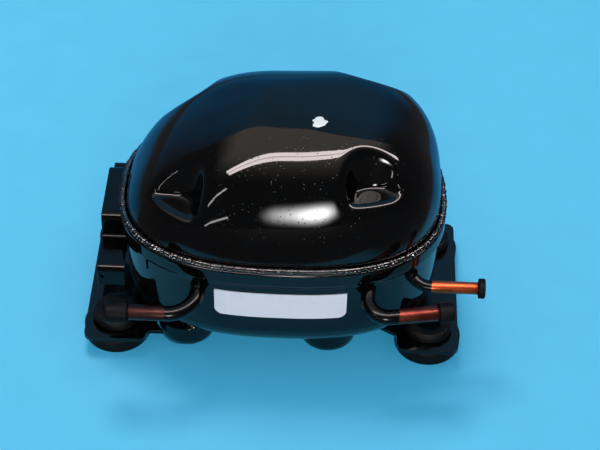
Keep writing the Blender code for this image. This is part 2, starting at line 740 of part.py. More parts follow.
def build_terminal(paint, header_finish, brass):
    wall_x = left_wall_x(TERMINAL_Y, TERMINAL_Z)
    rim = HEADER_RADIUS + HEADER_FLANGE / 2
    inner_x = left_wall_x(TERMINAL_Y + rim, TERMINAL_Z - rim, -SHELL_WALL) + 2 * FIT_GAP
    face_x = wall_x - HEADER_PROUD
    length = inner_x - face_x
    profile = [(HEADER_RADIUS, 0), (HEADER_RADIUS, length), (rim, length), (rim, length + HEADER_FLANGE)]
    header = turned("terminal_header", profile, (face_x, TERMINAL_Y, TERMINAL_Z), X_AXIS, HEADER_SIDES, False)
    pins = []
    for k, word in enumerate(("upper", "front", "rear")):
        angle = math.pi / 2 + TURN * k / 3
        y = TERMINAL_Y - PIN_CIRCLE * math.cos(angle)
        z = TERMINAL_Z + PIN_CIRCLE * math.sin(angle)
        start = (face_x - TERMINAL_PIN_OUT, y, z)
        end = (inner_x + HEADER_FLANGE + TERMINAL_PIN_IN, y, z)
        cut(header, rod("pin_hole", TERMINAL_PIN_RADIUS + FIT_GAP, start, end, TERMINAL_PIN_SIDES))
        pin = rod(f"{word}_terminal_pin", TERMINAL_PIN_RADIUS, start, end, TERMINAL_PIN_SIDES)
        pins.append((pin, start))
    settle(header, header_finish, (face_x, TERMINAL_Y, TERMINAL_Z))
    for pin, start in pins:
        settle(pin, brass, start)

    outer_x = wall_x - BRACKET_DEPTH
    inner_edge_x = wall_x + BRACKET_INNER_DEPTH
    top, ear, low, t = BRACKET_TOP_Z, BRACKET_EAR_Z, BRACKET_EAR_Z - BRACKET_EAR_DROP, BRACKET_SHEET
    upper, under = {}, {}
    for way, length in ((-1, BRACKET_FRONT_LENGTH), (1, BRACKET_REAR_LENGTH)):
        crown = BRACKET_HALF_TOP
        upper[way] = [(way * length, low), (way * length, ear), (way * crown, ear), (way * crown, top)]
        inside, crown = length - t, crown - t
        under[way] = [(way * inside, low), (way * inside, ear - t), (way * crown, ear - t),
                      (way * crown, top - t)]
    hat = upper[-1] + upper[1][::-1] + under[1] + under[-1][::-1]
    loops = [[Vector((x, TERMINAL_Y + y, z)) for y, z in hat] for x in (outer_x, inner_edge_x)]
    bracket = cut(loft("terminal_bracket", loops), outer_bowl("seat", FIT_GAP))
    hole_x, hole_z = outer_x + BRACKET_HOLE_MARGIN, ear - BRACKET_EAR_DROP / 2
    for y in (TERMINAL_Y - BRACKET_FRONT_LENGTH, TERMINAL_Y + BRACKET_REAR_LENGTH):
        cut(bracket, rod("ear_hole", BRACKET_HOLE_RADIUS, (hole_x, y - 2 * t, hole_z),
                         (hole_x, y + 2 * t, hole_z), PORT_SIDES))
    settle(bracket, paint, (outer_x, TERMINAL_Y, ear))


def build_nameplate(paper):
    """A thin sheet that follows the wall, with its two lower corners rounded."""
    columns = []
    for k in range(NAMEPLATE_COLUMNS + 1):
        share = (1 - math.cos(math.pi * k / NAMEPLATE_COLUMNS)) / 2
        x = NAMEPLATE_LEFT_X + share * (NAMEPLATE_RIGHT_X - NAMEPLATE_LEFT_X)
        inset = max(NAMEPLATE_CORNER - min(x - NAMEPLATE_LEFT_X, NAMEPLATE_RIGHT_X - x), 0)
        rise = NAMEPLATE_CORNER - math.sqrt(max(NAMEPLATE_CORNER ** 2 - inset ** 2, 0))
        low = NAMEPLATE_LOW_Z + rise
        near, far = FIT_GAP, FIT_GAP + NAMEPLATE_THICKNESS
        columns.append([Vector((x, front_wall_y(x, z, out), z)) for z, out in
                        ((low, near), (low, far), (NAMEPLATE_HIGH_Z, far), (NAMEPLATE_HIGH_Z, near))])
    settle(loft("nameplate", columns), paper, sharp=60)


# Suspension springs with their lower and upper seats

def seat_heights():
    lower_low = CUP_BOTTOM_Z + SHELL_WALL + FIT_GAP
    upper_top = STACK_BOTTOM_Z - FIT_GAP
    upper_low = upper_top - STATOR_BOLT_HEAD - SEAT_FLANGE / 2
    return lower_low, lower_low + SEAT_FLANGE, upper_low, upper_top


def build_suspension(spring_steel, plastic, pump):
    lower_low, lower_top, upper_low, upper_top = seat_heights()
    first, last = lower_top + FIT_GAP + SPRING_WIRE, upper_low - FIT_GAP - SPRING_WIRE
    recess = STATOR_BOLT_HEAD_RADIUS + FIT_GAP
    for name, (x, y) in SPRING_PLACES.items():
        pin = [(SEAT_RADIUS, lower_low), (SEAT_RADIUS, lower_top), (SEAT_CORE_RADIUS, lower_top),
               (SEAT_CORE_RADIUS, lower_top + SEAT_CORE_LENGTH)]
        seat = turned(f"{name}_spring_pin", pin, (x, y, 0), segments=SEAT_SEGMENTS, ring=False)
        settle(seat, plastic, (x, y, lower_low))

        steps = SPRING_TURNS * SPRING_STEPS
        coil = []
        for k in range(steps + 1):
            angle = TURN * k / SPRING_STEPS
            coil.append((x + SPRING_RADIUS * math.cos(angle), y + SPRING_RADIUS * math.sin(angle),
                         first + (last - first) * k / steps))
        spring = loft(f"{name}_spring", swept_loops(coil, SPRING_WIRE, SPRING_SIDES))
        settle(spring, spring_steel, (x, y, first), sharp=80)

        floor = upper_top - STATOR_BOLT_HEAD - FIT_GAP
        tip = upper_low - SEAT_CORE_LENGTH
        cap = [(recess, floor), (recess, upper_top), (SEAT_RADIUS, upper_top), (SEAT_RADIUS, upper_low),
               (SEAT_CORE_RADIUS, upper_low), (SEAT_CORE_RADIUS, tip)]
        snubber = turned(f"{name}_snubber", cap, (x, y, 0), segments=SEAT_SEGMENTS, ring=False)
        settle(snubber, plastic, (x, y, upper_low), pump)


# Motor

def build_motor(laminations, copper_wire, bolt_steel, aluminium, pump, crank):
    centre = (CRANK_X, CRANK_Y)
    stator = prism("stator_core", rounded_rectangle(STATOR_HALF_X, STATOR_HALF_Y, STATOR_CORNER, centre),
                   STACK_BOTTOM_Z, STACK_TOP_Z)
    below, above = STACK_BOTTOM_Z - FIT_GAP, STACK_TOP_Z + FIT_GAP
    cut(stator, rod("bore", STATOR_BORE, (*centre, below), (*centre, above), STATOR_SIDES))
    for name, (x, y) in SPRING_PLACES.items():
        cut(stator, rod("bolt_hole", STATOR_BOLT_RADIUS + FIT_GAP, (x, y, below), (x, y, above), BOLT_SIDES))
        head_low = STACK_BOTTOM_Z - FIT_GAP - STATOR_BOLT_HEAD
        top = CASE_LOW_Z + CASE_PLATE / 2
        profile = [(STATOR_BOLT_HEAD_RADIUS, head_low), (STATOR_BOLT_HEAD_RADIUS, below),
                   (STATOR_BOLT_RADIUS, below), (STATOR_BOLT_RADIUS, top)]
        bolt = turned(f"{name}_stator_bolt", profile, (x, y, 0), segments=BOLT_SIDES, ring=False)
        settle(bolt, bolt_steel, (x, y, below), pump)
    settle(stator, laminations, (*centre, STACK_BOTTOM_Z), pump)

    inner, outer = STATOR_BORE + 3 * AIR_GAP, WINDING_RADIUS
    middle = (inner + outer) / 2
    for name, seat, way in (("upper_winding", above, 1), ("lower_winding", below, -1)):
        section = ((inner, 0), (outer, 0), (outer, 0.6), (middle + (outer - middle) * 0.5, 1.0),
                   (middle - (outer - middle) * 0.5, 1.0), (inner, 0.7))
        profile = [(r, seat + way * WINDING_HEIGHT * h) for r, h in section]
        winding = turned(name, profile, (*centre, 0), segments=WINDING_SIDES)
        settle(winding, copper_wire, (*centre, seat), pump)

    inside, outside = SHAFT_RADIUS + FIT_GAP, STATOR_BORE - AIR_GAP
    recess_z = STACK_TOP_Z - ROTOR_COUNTERBORE_DEPTH
    profile = [(inside, STACK_BOTTOM_Z), (outside, STACK_BOTTOM_Z), (outside, STACK_TOP_Z),
               (ROTOR_COUNTERBORE, STACK_TOP_Z), (ROTOR_COUNTERBORE, recess_z), (inside, recess_z)]
    rotor = turned("rotor", profile, (*centre, 0), segments=STATOR_SIDES)
    settle(rotor, aluminium, (*centre, STACK_BOTTOM_Z), crank)


# Crankcase, crankshaft and the slide-tube drive

def build_crankcase(iron, pump):
    centre = (CRANK_X, CRANK_Y)
    outline = rounded_rectangle(CASE_HALF_X, CASE_HALF_Y, CASE_CORNER, centre)
    case = prism("crankcase", outline, CASE_LOW_Z, CASE_TOP_Z)
    sunk = CASE_LOW_Z + CASE_PLATE / 2
    posts = [rod("post", POST_RADIUS, (x, y, STACK_TOP_Z + FIT_GAP), (x, y, sunk), POST_SIDES)
             for x, y in SPRING_PLACES.values()]
    hub_low = CASE_LOW_Z - HUB_DROP
    join(case, *posts, rod("hub", HUB_RADIUS, (*centre, hub_low), (*centre, sunk), HUB_SIDES))
    low = (cylinder_mouth_x(), CRANK_Y - BLOCK_HALF, sunk)
    high = (BLOCK_FACE_X, CRANK_Y + BLOCK_HALF, CYLINDER_Z + BLOCK_HALF)
    join(case, block("cylinder_block", low, high))
    cut(case, rod("bearing", SHAFT_RADIUS + FIT_GAP, (*centre, hub_low - FIT_GAP), (*centre, WEB_TOP_Z),
                  SHAFT_SIDES))
    cut(case, rod("bore", BORE_RADIUS, (low[0] - BORE_RADIUS, CRANK_Y, CYLINDER_Z),
                  (BLOCK_FACE_X + BORE_RADIUS, CRANK_Y, CYLINDER_Z), PISTON_SIDES))
    for x, y in SPRING_PLACES.values():
        cut(case, rod("bolt_hole", STATOR_BOLT_RADIUS + FIT_GAP, (x, y, STACK_TOP_Z),
                      (x, y, CASE_TOP_Z + FIT_GAP), BOLT_SIDES))
    for y, z in head_bolt_places():
        start = BLOCK_FACE_X - HEAD_BOLT_GRIP - FIT_GAP
        cut(case, rod("head_bolt_hole", HEAD_BOLT_RADIUS + FIT_GAP, (start, y, z),
                      (BLOCK_FACE_X + FIT_GAP, y, z), HEX_SIDES))
    settle(case, iron, (*centre, CASE_LOW_Z), pump)


def cylinder_mouth_x():
    """The block starts clear of the slide tube at top dead centre."""
    return CRANK_X + CRANK_THROW + SLIDE_TUBE_RADIUS + TUBE_BLOCK_CLEARANCE


def head_bolt_places():
    reach = HEAD_BOLT_REACH
    corners = ((-1, 1), (1, 1), (-1, -1), (1, -1))
    return [(CRANK_Y + sy * reach, CYLINDER_Z + sz * reach) for sy, sz in corners]


def build_crankshaft(steel, pressed_steel, crank, gallery):
    centre = (CRANK_X, CRANK_Y)
    pin_x = CRANK_X - CRANK_THROW
    inside_web = WEB_LOW_Z + WEB_HEIGHT / 2
    shaft = rod("crankshaft", SHAFT_RADIUS, (*centre, SHAFT_BOTTOM_Z), (*centre, inside_web), SHAFT_SIDES)
    pin = rod("pin", CRANK_PIN_RADIUS, (pin_x, CRANK_Y, inside_web), (pin_x, CRANK_Y, CRANK_PIN_TOP_Z),
              SHAFT_SIDES)
    join(shaft, prism("web", web_outline(), WEB_LOW_Z, WEB_TOP_Z), pin)
    cut(shaft, rod("oil_bore", OIL_BORE_RADIUS, (*centre, SHAFT_BOTTOM_Z - FIT_GAP),
                   (*centre, SHAFT_BOTTOM_Z + OIL_BORE_DEPTH), OIL_SIDES))
    gallery_x = CRANK_X - CRANK_THROW / 2
    floor = CRANK_PIN_TOP_Z - GALLERY_DEPTH
    cut(shaft, rod("gallery", GALLERY_RADIUS + FIT_GAP, (gallery_x, CRANK_Y, floor),
                   (gallery_x, CRANK_Y, CRANK_PIN_TOP_Z + FIT_GAP), OIL_SIDES))
    settle(shaft, steel, (*centre, SHAFT_BOTTOM_Z), crank)

    plug_low = floor + FIT_GAP
    plug = rod("oil_gallery_plug", GALLERY_RADIUS, (gallery_x, CRANK_Y, plug_low),
               (gallery_x, CRANK_Y, plug_low + GALLERY_PLUG_LENGTH), OIL_SIDES)
    settle(plug, pressed_steel, (gallery_x, CRANK_Y, plug_low), gallery)

    stem = OIL_BORE_RADIUS * math.cos(math.pi / OIL_SIDES) - FIT_GAP
    seat = SHAFT_BOTTOM_Z - FIT_GAP
    tip = seat - PICKUP_LENGTH
    bore = PICKUP_TIP_RADIUS / 2
    stem_top = SHAFT_BOTTOM_Z + OIL_BORE_DEPTH - FIT_GAP
    shoulder = SHAFT_RADIUS - FIT_GAP
    profile = [(bore, tip), (PICKUP_TIP_RADIUS, tip), (shoulder, seat - FIT_GAP), (shoulder, seat),
               (stem, seat), (stem, stem_top), (bore, stem_top)]
    pickup = turned("oil_pickup", profile, (*centre, 0), segments=OIL_SIDES)
    settle(pickup, pressed_steel, (*centre, tip), crank)


def web_outline():
    """A disc about the crank axis, with a wider counterweight opposite the crank pin."""
    steps = 24
    outline = []
    for k in range(steps + 1):
        angle = COUNTERWEIGHT_HALF_ANGLE + (TURN - 2 * COUNTERWEIGHT_HALF_ANGLE) * k / steps
        outline.append((CRANK_X + WEB_RADIUS * math.cos(angle), CRANK_Y + WEB_RADIUS * math.sin(angle)))
    for k in range(steps // 2 + 1):
        angle = -COUNTERWEIGHT_HALF_ANGLE + 2 * COUNTERWEIGHT_HALF_ANGLE * k / (steps // 2)
        outline.append((CRANK_X + COUNTERWEIGHT_RADIUS * math.cos(angle),
                        CRANK_Y + COUNTERWEIGHT_RADIUS * math.sin(angle)))
    return outline


def build_piston(iron, bronze, piston_carrier, block_carrier):
    """The piston with its cross tube, drawn at bottom dead centre, and the block that slides in it."""
    pin_x = CRANK_X - CRANK_THROW
    crown_x = BLOCK_FACE_X - CROWN_CLEARANCE - 2 * CRANK_THROW
    neck_end = crown_x - PISTON_LENGTH / 2
    yoke = rod("piston_yoke", SLIDE_TUBE_RADIUS, (pin_x, CRANK_Y - SLIDE_TUBE_HALF, CYLINDER_Z),
               (pin_x, CRANK_Y + SLIDE_TUBE_HALF, CYLINDER_Z), SLIDE_SIDES)
    neck = rod("neck", PISTON_NECK_RADIUS, (pin_x, CRANK_Y, CYLINDER_Z), (neck_end, CRANK_Y, CYLINDER_Z),
               NECK_SIDES)
    piston_radius = BORE_RADIUS * math.cos(math.pi / PISTON_SIDES) - FIT_GAP
    piston = rod("piston", piston_radius, (crown_x - PISTON_LENGTH, CRANK_Y, CYLINDER_Z),
                 (crown_x, CRANK_Y, CYLINDER_Z), PISTON_SIDES)
    join(yoke, neck, piston)
    over = SLIDE_TUBE_HALF + FIT_GAP
    cut(yoke, rod("tube_bore", SLIDE_TUBE_BORE, (pin_x, CRANK_Y - over, CYLINDER_Z),
                  (pin_x, CRANK_Y + over, CYLINDER_Z), SLIDE_SIDES))
    slot = CRANK_PIN_RADIUS + FIT_GAP
    slot_low = CYLINDER_Z - 2 * SLIDE_TUBE_RADIUS
    cut(yoke, block("pin_slot", (pin_x - slot, CRANK_Y - slot - CRANK_THROW, slot_low),
                    (pin_x + slot, CRANK_Y + slot + CRANK_THROW, CYLINDER_Z)))
    wide = REED_HALF_WIDTH + 3 * FIT_GAP
    reed_z = CYLINDER_Z + PORT_SPACING
    cut(yoke, block("reed_pocket", (crown_x - REED_POCKET, CRANK_Y - BORE_RADIUS, reed_z - wide),
                    (crown_x + REED_POCKET, CRANK_Y + BORE_RADIUS, reed_z + wide)))
    settle(yoke, iron, (pin_x, CRANK_Y, CYLINDER_Z), piston_carrier)

    slider_radius = SLIDE_BLOCK_RADIUS * math.cos(math.pi / SLIDE_SIDES)
    slider = rod("slide_block", slider_radius, (pin_x, CRANK_Y - SLIDE_BLOCK_HALF, CYLINDER_Z),
                 (pin_x, CRANK_Y + SLIDE_BLOCK_HALF, CYLINDER_Z), SLIDE_SIDES)
    cut(slider, rod("pin_bore", CRANK_PIN_RADIUS + FIT_GAP, (pin_x, CRANK_Y, CYLINDER_Z - SLIDE_TUBE_RADIUS),
                    (pin_x, CRANK_Y, CYLINDER_Z + SLIDE_TUBE_RADIUS), SLIDE_SIDES))
    settle(slider, bronze, (pin_x, CRANK_Y, CYLINDER_Z), block_carrier)


# Valve plate, reeds, gasket, head and head bolts

def head_stack():
    """Faces of the valve plate, gasket and head along the cylinder axis."""
    plate_low = BLOCK_FACE_X + FIT_GAP
    gasket_low = plate_low + VALVE_PLATE + FIT_GAP
    head_low = gasket_low + GASKET + FIT_GAP
    return plate_low, gasket_low, head_low, head_low + HEAD_DEPTH


def square_x(name, half, low_x, high_x):
    return block(name, (low_x, CRANK_Y - half, CYLINDER_Z - half),
                 (high_x, CRANK_Y + half, CYLINDER_Z + half))


def build_valves(steel, spring_steel, gasket_paper, aluminium, bolt_steel, pump):
    plate_low, gasket_low, head_low, head_top = head_stack()
    plate_high = plate_low + VALVE_PLATE
    plate = square_x("valve_plate", HEAD_HALF, plate_low, plate_high)
    gasket = cut(square_x("head_gasket", HEAD_HALF, gasket_low, gasket_low + GASKET),
                 *chamber_tools(gasket_low - FIT_GAP, head_low))
    head = cut(square_x("cylinder_head", HEAD_HALF, head_low, head_top),
               *chamber_tools(head_low - FIT_GAP, head_top - HEAD_ROOF))
    for way in (-1, 1):
        z = CYLINDER_Z + way * PORT_SPACING
        cut(plate, rod("port", PORT_RADIUS, (plate_low - FIT_GAP, CRANK_Y, z),
                       (plate_high + FIT_GAP, CRANK_Y, z), PORT_SIDES))
    bolts = []
    for (y, z), word in zip(head_bolt_places(), ("front_upper", "rear_upper", "front_lower", "rear_lower")):
        for piece in (plate, gasket, head):
            cut(piece, rod("bolt_hole", HEAD_BOLT_RADIUS + FIT_GAP, (plate_low - FIT_GAP, y, z),
                           (head_top + FIT_GAP, y, z), HEX_SIDES))
        seat = head_top + FIT_GAP
        profile = [(HEAD_BOLT_RADIUS, BLOCK_FACE_X - HEAD_BOLT_GRIP), (HEAD_BOLT_RADIUS, seat),
                   (HEAD_BOLT_HEAD_RADIUS, seat), (HEAD_BOLT_HEAD_RADIUS, seat + HEAD_BOLT_HEAD)]
        bolt = turned(f"{word}_head_bolt", profile, (0, y, z), X_AXIS, HEX_SIDES, False)
        bolts.append((bolt, (seat, y, z)))
    reach = HEAD_HALF + HEAD_WALL
    for way, z in ((-1, discharge_port_z()), (1, suction_port_z())):
        cut(head, rod("side_port", LINE_RADIUS + FIT_GAP, (head_port_x(), CRANK_Y + way * reach, z),
                      (head_port_x(), CRANK_Y, z), PORT_SIDES))
    settle(plate, steel, (plate_low, CRANK_Y, CYLINDER_Z), pump)
    settle(gasket, gasket_paper, (gasket_low, CRANK_Y, CYLINDER_Z), pump)
    settle(head, aluminium, (head_low, CRANK_Y, CYLINDER_Z), pump)
    for bolt, seat in bolts:
        settle(bolt, bolt_steel, seat, pump)

    root_y = CRANK_Y - REED_ROOT
    for name, low_x, z in (("suction_reed", plate_low - FIT_GAP - REED, CYLINDER_Z + PORT_SPACING),
                           ("discharge_reed", plate_high + FIT_GAP, CYLINDER_Z - PORT_SPACING)):
        reed = block(name, (low_x, root_y, z - REED_HALF_WIDTH),
                     (low_x + REED, root_y + REED_LENGTH, z + REED_HALF_WIDTH))
        settle(reed, spring_steel, (low_x + REED / 2, root_y, z), pump)


def chamber_tools(low_x, high_x):
    """The suction chamber above the head's rib and the discharge chamber below it."""
    wide = HEAD_HALF - 2 * HEAD_WALL
    for way in (-1, 1):
        low_z, high_z = sorted((CYLINDER_Z + way * HEAD_RIB / 2, CYLINDER_Z + way * wide))
        yield block("chamber", (low_x, CRANK_Y - wide, low_z), (high_x, CRANK_Y + wide, high_z))


def head_port_x():
    return head_stack()[2] + HEAD_DEPTH / 2


def suction_port_z():
    return CYLINDER_Z + HEAD_HALF / 2


def discharge_port_z():
    return CYLINDER_Z - HEAD_HALF / 2


# Suction muffler and the looped discharge line

def build_gas_path(plastic, line_steel, pump):
    low = Vector((cylinder_mouth_x(), CRANK_Y + BLOCK_HALF + FIT_GAP, CASE_TOP_Z + FIT_GAP))
    size = Vector((MUFFLER_LENGTH, MUFFLER_WIDTH, MUFFLER_HEIGHT))
    body = block("suction_muffler", low, low + size)
    work = bmesh.new()
    work.from_mesh(body.data)
    bmesh.ops.dissolve_limit(work, angle_limit=math.radians(1), verts=work.verts, edges=work.edges)
    bmesh.ops.bevel(work, geom=work.edges, offset=MUFFLER_BEVEL, segments=2, affect="EDGES", profile=0.5)
    work.to_mesh(body.data)
    work.free()
    neck_z = low.z + MUFFLER_HEIGHT / 2
    half = MUFFLER_NECK / 2
    head_rear_y = CRANK_Y + HEAD_HALF + FIT_GAP
    head_low, head_top = head_stack()[2:]
    neck = block("neck", (low.x + MUFFLER_LENGTH / 2, low.y + FIT_GAP, neck_z - half),
                 (head_top, low.y + MUFFLER_NECK, neck_z + half))
    riser = block("riser", (head_low + HEAD_WALL, head_rear_y, neck_z - half / 2),
                  (head_top - HEAD_WALL, low.y + MUFFLER_NECK / 4, suction_port_z() + half))
    join(body, neck, riser)
    inlet = low + Vector((MUFFLER_LENGTH / 2, MUFFLER_WIDTH, MUFFLER_HEIGHT / 2))
    cut(body, rod("inlet", half, inlet - Y_AXIS * MUFFLER_WIDTH / 2, inlet + Y_AXIS * FIT_GAP, PORT_SIDES))
    settle(body, plastic, low, pump)

    path = line_path()
    line = loft("discharge_line", swept_loops(path, LINE_RADIUS, LINE_SIDES))
    settle(line, line_steel, path[0], sharp=60)


def line_path():
    """One smooth curve from the head's port, along the front of the motor and back to its tube."""
    head = Vector((head_port_x(), CRANK_Y - HEAD_HALF + FIT_GAP, discharge_port_z()))
    tube = tube_routes()["discharge_tube"]
    inward = (tube["path"][0] - tube["path"][1]).normalized()
    end = tube["start"] - inward * LINE_INSERT
    gap_y = (front_wall_y(CRANK_X, SHOULDER_Z, -SHELL_WALL) + CRANK_Y - STATOR_HALF_Y) / 2
    high_z, low_z = CASE_LOW_Z - LINE_RADIUS, TUBE_EXIT_Z - LINE_RADIUS
    far_x = CRANK_X - STATOR_HALF_X / 4
    near_x = CRANK_X + STATOR_HALF_X
    turn_z = (high_z + low_z) / 2
    via = [head,
           head - Y_AXIS * LINE_STUB,
           head + Vector((LINE_STUB / 2, LINE_STUB / 2 - LINE_CORNER, -LINE_STUB)),
           Vector((near_x + LINE_CORNER, gap_y + LINE_CORNER, high_z + LINE_STUB / 2)),
           Vector((near_x, gap_y + LINE_STUB, high_z)),
           Vector((near_x - LINE_CORNER, gap_y, high_z)),
           Vector((CRANK_X, gap_y, high_z)),
           Vector((far_x, gap_y, high_z)),
           Vector((far_x - LINE_LOOP, gap_y, turn_z)),
           Vector((far_x, gap_y, low_z)),
           Vector((CRANK_X, gap_y, low_z)),
           Vector((near_x - LINE_CORNER, gap_y, low_z)),
           end + inward * 4 * LINE_INSERT,
           end + inward * 2 * LINE_INSERT]
    return even_curve(via, LINE_STEP) + [end]


def even_curve(via, step):
    """Points a step apart on a smooth curve through the given ones."""
    between = 12
    fine = []
    for k in range(len(via) - 1):
        a, b, c, d = via[max(k - 1, 0)], via[k], via[k + 1], via[min(k + 2, len(via) - 1)]
        for j in range(between):
            t = j / between
            fine.append(0.5 * (2 * b + (c - a) * t + (2 * a - 5 * b + 4 * c - d) * t * t
                               + (3 * b - a - 3 * c + d) * t * t * t))
    fine.append(via[-1])
    points, run = [fine[0]], 0.0
    for before, after in zip(fine, fine[1:]):
        run += (after - before).length
        if run >= step:
            points.append(after)
            run = 0.0
    if (points[-1] - via[-1]).length < step / 2:
        points.pop()
    points.append(via[-1])
    return points


def main():
    clear_scene()
    paint = finish("gloss_black_paint", (0.008, 0.009, 0.011), 0.10, 0.0)
    weld = finish("painted_weld", (0.012, 0.012, 0.013), 0.28, 0.0)
    rubber = finish("black_rubber", (0.018, 0.018, 0.019), 0.62, 0.0)
    plug_rubber = finish("plug_rubber", (0.015, 0.015, 0.016), 0.55, 0.0)
    copper = finish("copper_tube", (0.72, 0.27, 0.13), 0.30, 1.0)
    paper = finish("white_label", (0.86, 0.87, 0.90), 0.45, 0.0)
    header_finish = finish("terminal_header", (0.45, 0.45, 0.46), 0.40, 1.0)
    brass = finish("pin_metal", (0.60, 0.50, 0.30), 0.30, 1.0)
    iron = finish("cast_iron", (0.22, 0.22, 0.22), 0.55, 0.8)
    steel = finish("ground_steel", (0.55, 0.55, 0.56), 0.25, 1.0)
    bolt_steel = finish("bolt_steel", (0.35, 0.35, 0.36), 0.35, 1.0)
    spring_steel = finish("spring_steel", (0.40, 0.40, 0.42), 0.30, 1.0)
    laminations = finish("laminations", (0.28, 0.28, 0.29), 0.45, 0.9)
    copper_wire = finish("copper_wire", (0.50, 0.20, 0.08), 0.35, 0.9)
    aluminium = finish("aluminium", (0.62, 0.63, 0.64), 0.40, 1.0)
    bronze = finish("sintered_iron", (0.30, 0.28, 0.25), 0.45, 0.9)
    plastic = finish("moulded_plastic", (0.70, 0.68, 0.60), 0.50, 0.0)
    gasket_paper = finish("gasket", (0.10, 0.12, 0.10), 0.70, 0.0)
    line_steel = finish("line_steel", (0.40, 0.38, 0.36), 0.35, 1.0)

    pin_x = CRANK_X - CRANK_THROW
    pump = pivot("pump_axis", (CRANK_X, CRANK_Y, STACK_BOTTOM_Z))
    crank = pivot("crank_axis", (CRANK_X, CRANK_Y, STACK_BOTTOM_Z), pump)
    gallery = pivot("gallery_axis", (CRANK_X - CRANK_THROW / 2, CRANK_Y, CYLINDER_Z), crank)
    piston_carrier = pivot("piston_axis", (pin_x, CRANK_Y, CYLINDER_Z), gallery)
    block_carrier = pivot("crank_pin_axis", (pin_x, CRANK_Y, CYLINDER_Z), crank)

    build_shell(paint, weld)
    build_base(paint, rubber)
    build_tubes(copper, plug_rubber)
    build_terminal(paint, header_finish, brass)
    build_nameplate(paper)
    build_suspension(spring_steel, plastic, pump)
    build_motor(laminations, copper_wire, bolt_steel, aluminium, pump, crank)
    build_crankcase(iron, pump)
    build_crankshaft(steel, bolt_steel, crank, gallery)
    build_piston(iron, bronze, piston_carrier, block_carrier)
    build_valves(steel, spring_steel, gasket_paper, aluminium, bolt_steel, pump)
    build_gas_path(plastic, line_steel, pump)


main()
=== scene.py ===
import json
import math

import bmesh
import bpy
import numpy as np
from mathutils import Matrix, Vector


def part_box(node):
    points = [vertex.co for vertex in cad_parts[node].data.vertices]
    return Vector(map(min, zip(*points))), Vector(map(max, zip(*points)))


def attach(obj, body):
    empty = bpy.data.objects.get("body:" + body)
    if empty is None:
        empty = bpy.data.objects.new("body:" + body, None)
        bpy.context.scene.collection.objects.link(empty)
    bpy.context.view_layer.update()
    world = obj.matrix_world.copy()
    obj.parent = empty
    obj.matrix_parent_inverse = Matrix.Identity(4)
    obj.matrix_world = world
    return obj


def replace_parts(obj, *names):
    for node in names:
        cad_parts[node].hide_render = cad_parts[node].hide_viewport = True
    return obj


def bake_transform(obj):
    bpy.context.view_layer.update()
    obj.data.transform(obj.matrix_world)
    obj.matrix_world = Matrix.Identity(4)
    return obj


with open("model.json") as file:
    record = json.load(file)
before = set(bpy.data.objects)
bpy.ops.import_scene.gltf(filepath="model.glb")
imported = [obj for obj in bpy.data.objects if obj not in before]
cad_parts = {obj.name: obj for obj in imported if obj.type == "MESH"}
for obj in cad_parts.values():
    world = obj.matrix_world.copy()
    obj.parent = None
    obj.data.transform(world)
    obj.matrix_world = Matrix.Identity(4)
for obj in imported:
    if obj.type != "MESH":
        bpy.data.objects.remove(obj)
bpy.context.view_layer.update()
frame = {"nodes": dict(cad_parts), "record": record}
slotOf = {row["node"]: row["material_slot"] for row in frame["record"]["subparts"]}
fullTurn = 2 * math.pi
print("frame loaded:", len(frame["nodes"]), "nodes")


# Mesh helpers: grids, turned shapes, sweeps and rounded outlines

def addMesh(name, points, faces):
    mesh = bpy.data.meshes.new(name)
    mesh.from_pydata([tuple(float(v) for v in p) for p in points], [], faces)
    mesh.polygons.foreach_set("use_smooth", [True] * len(mesh.polygons))
    mesh.update()
    piece = bpy.data.objects.new(name, mesh)
    bpy.context.collection.objects.link(piece)
    return piece


def gridFaces(rows, columns, wrapRows=False, wrapColumns=True):
    faces = []
    for r in range(rows if wrapRows else rows - 1):
        above = (r + 1) % rows
        for c in range(columns if wrapColumns else columns - 1):
            right = (c + 1) % columns
            faces.append((r * columns + c, r * columns + right, above * columns + right, above * columns + c))
    return faces


def faceOutward(piece, sharpAngle=None):
    shape = bmesh.new()
    shape.from_mesh(piece.data)
    bmesh.ops.remove_doubles(shape, verts=shape.verts, dist=1e-7)
    bmesh.ops.recalc_face_normals(shape, faces=shape.faces)
    if shape.calc_volume(signed=True) < 0:
        bmesh.ops.reverse_faces(shape, faces=shape.faces)
    shape.to_mesh(piece.data)
    shape.free()
    if sharpAngle:
        piece.data.set_sharp_from_angle(angle=math.radians(sharpAngle))
    return piece


def roundedPath(corners, steps=6, closed=True):
    # corners are (x, y, radius); a corner with no radius stays sharp
    path, count = [], len(corners)
    for k, (x, y, radius) in enumerate(corners):
        here = Vector((x, y))
        if radius <= 0 or (not closed and k in (0, count - 1)):
            path.append((x, y))
            continue
        back = Vector(corners[k - 1][:2]) - here
        ahead = Vector(corners[(k + 1) % count][:2]) - here
        half = back.angle(ahead) / 2
        setback = min(radius / math.tan(half), 0.499 * back.length, 0.499 * ahead.length)
        radius = setback * math.tan(half)
        middle = here + (back.normalized() + ahead.normalized()).normalized() * (radius / math.sin(half))
        first = here + back.normalized() * setback - middle
        last = here + ahead.normalized() * setback - middle
        start = math.atan2(first.y, first.x)
        sweep = math.remainder(math.atan2(last.y, last.x) - start, fullTurn)
        for s in range(steps + 1):
            angle = start + sweep * s / steps
            path.append((middle.x + radius * math.cos(angle), middle.y + radius * math.sin(angle)))
    return path


def fillPath(path, step):
    # extra points on the long straights
    filled = [path[0]]
    for a, b in zip(path, path[1:]):
        parts = max(1, round(math.dist(a, b) / step))
        filled += [tuple(p + (q - p) * k / parts for p, q in zip(a, b)) for k in range(1, parts + 1)]
    return filled


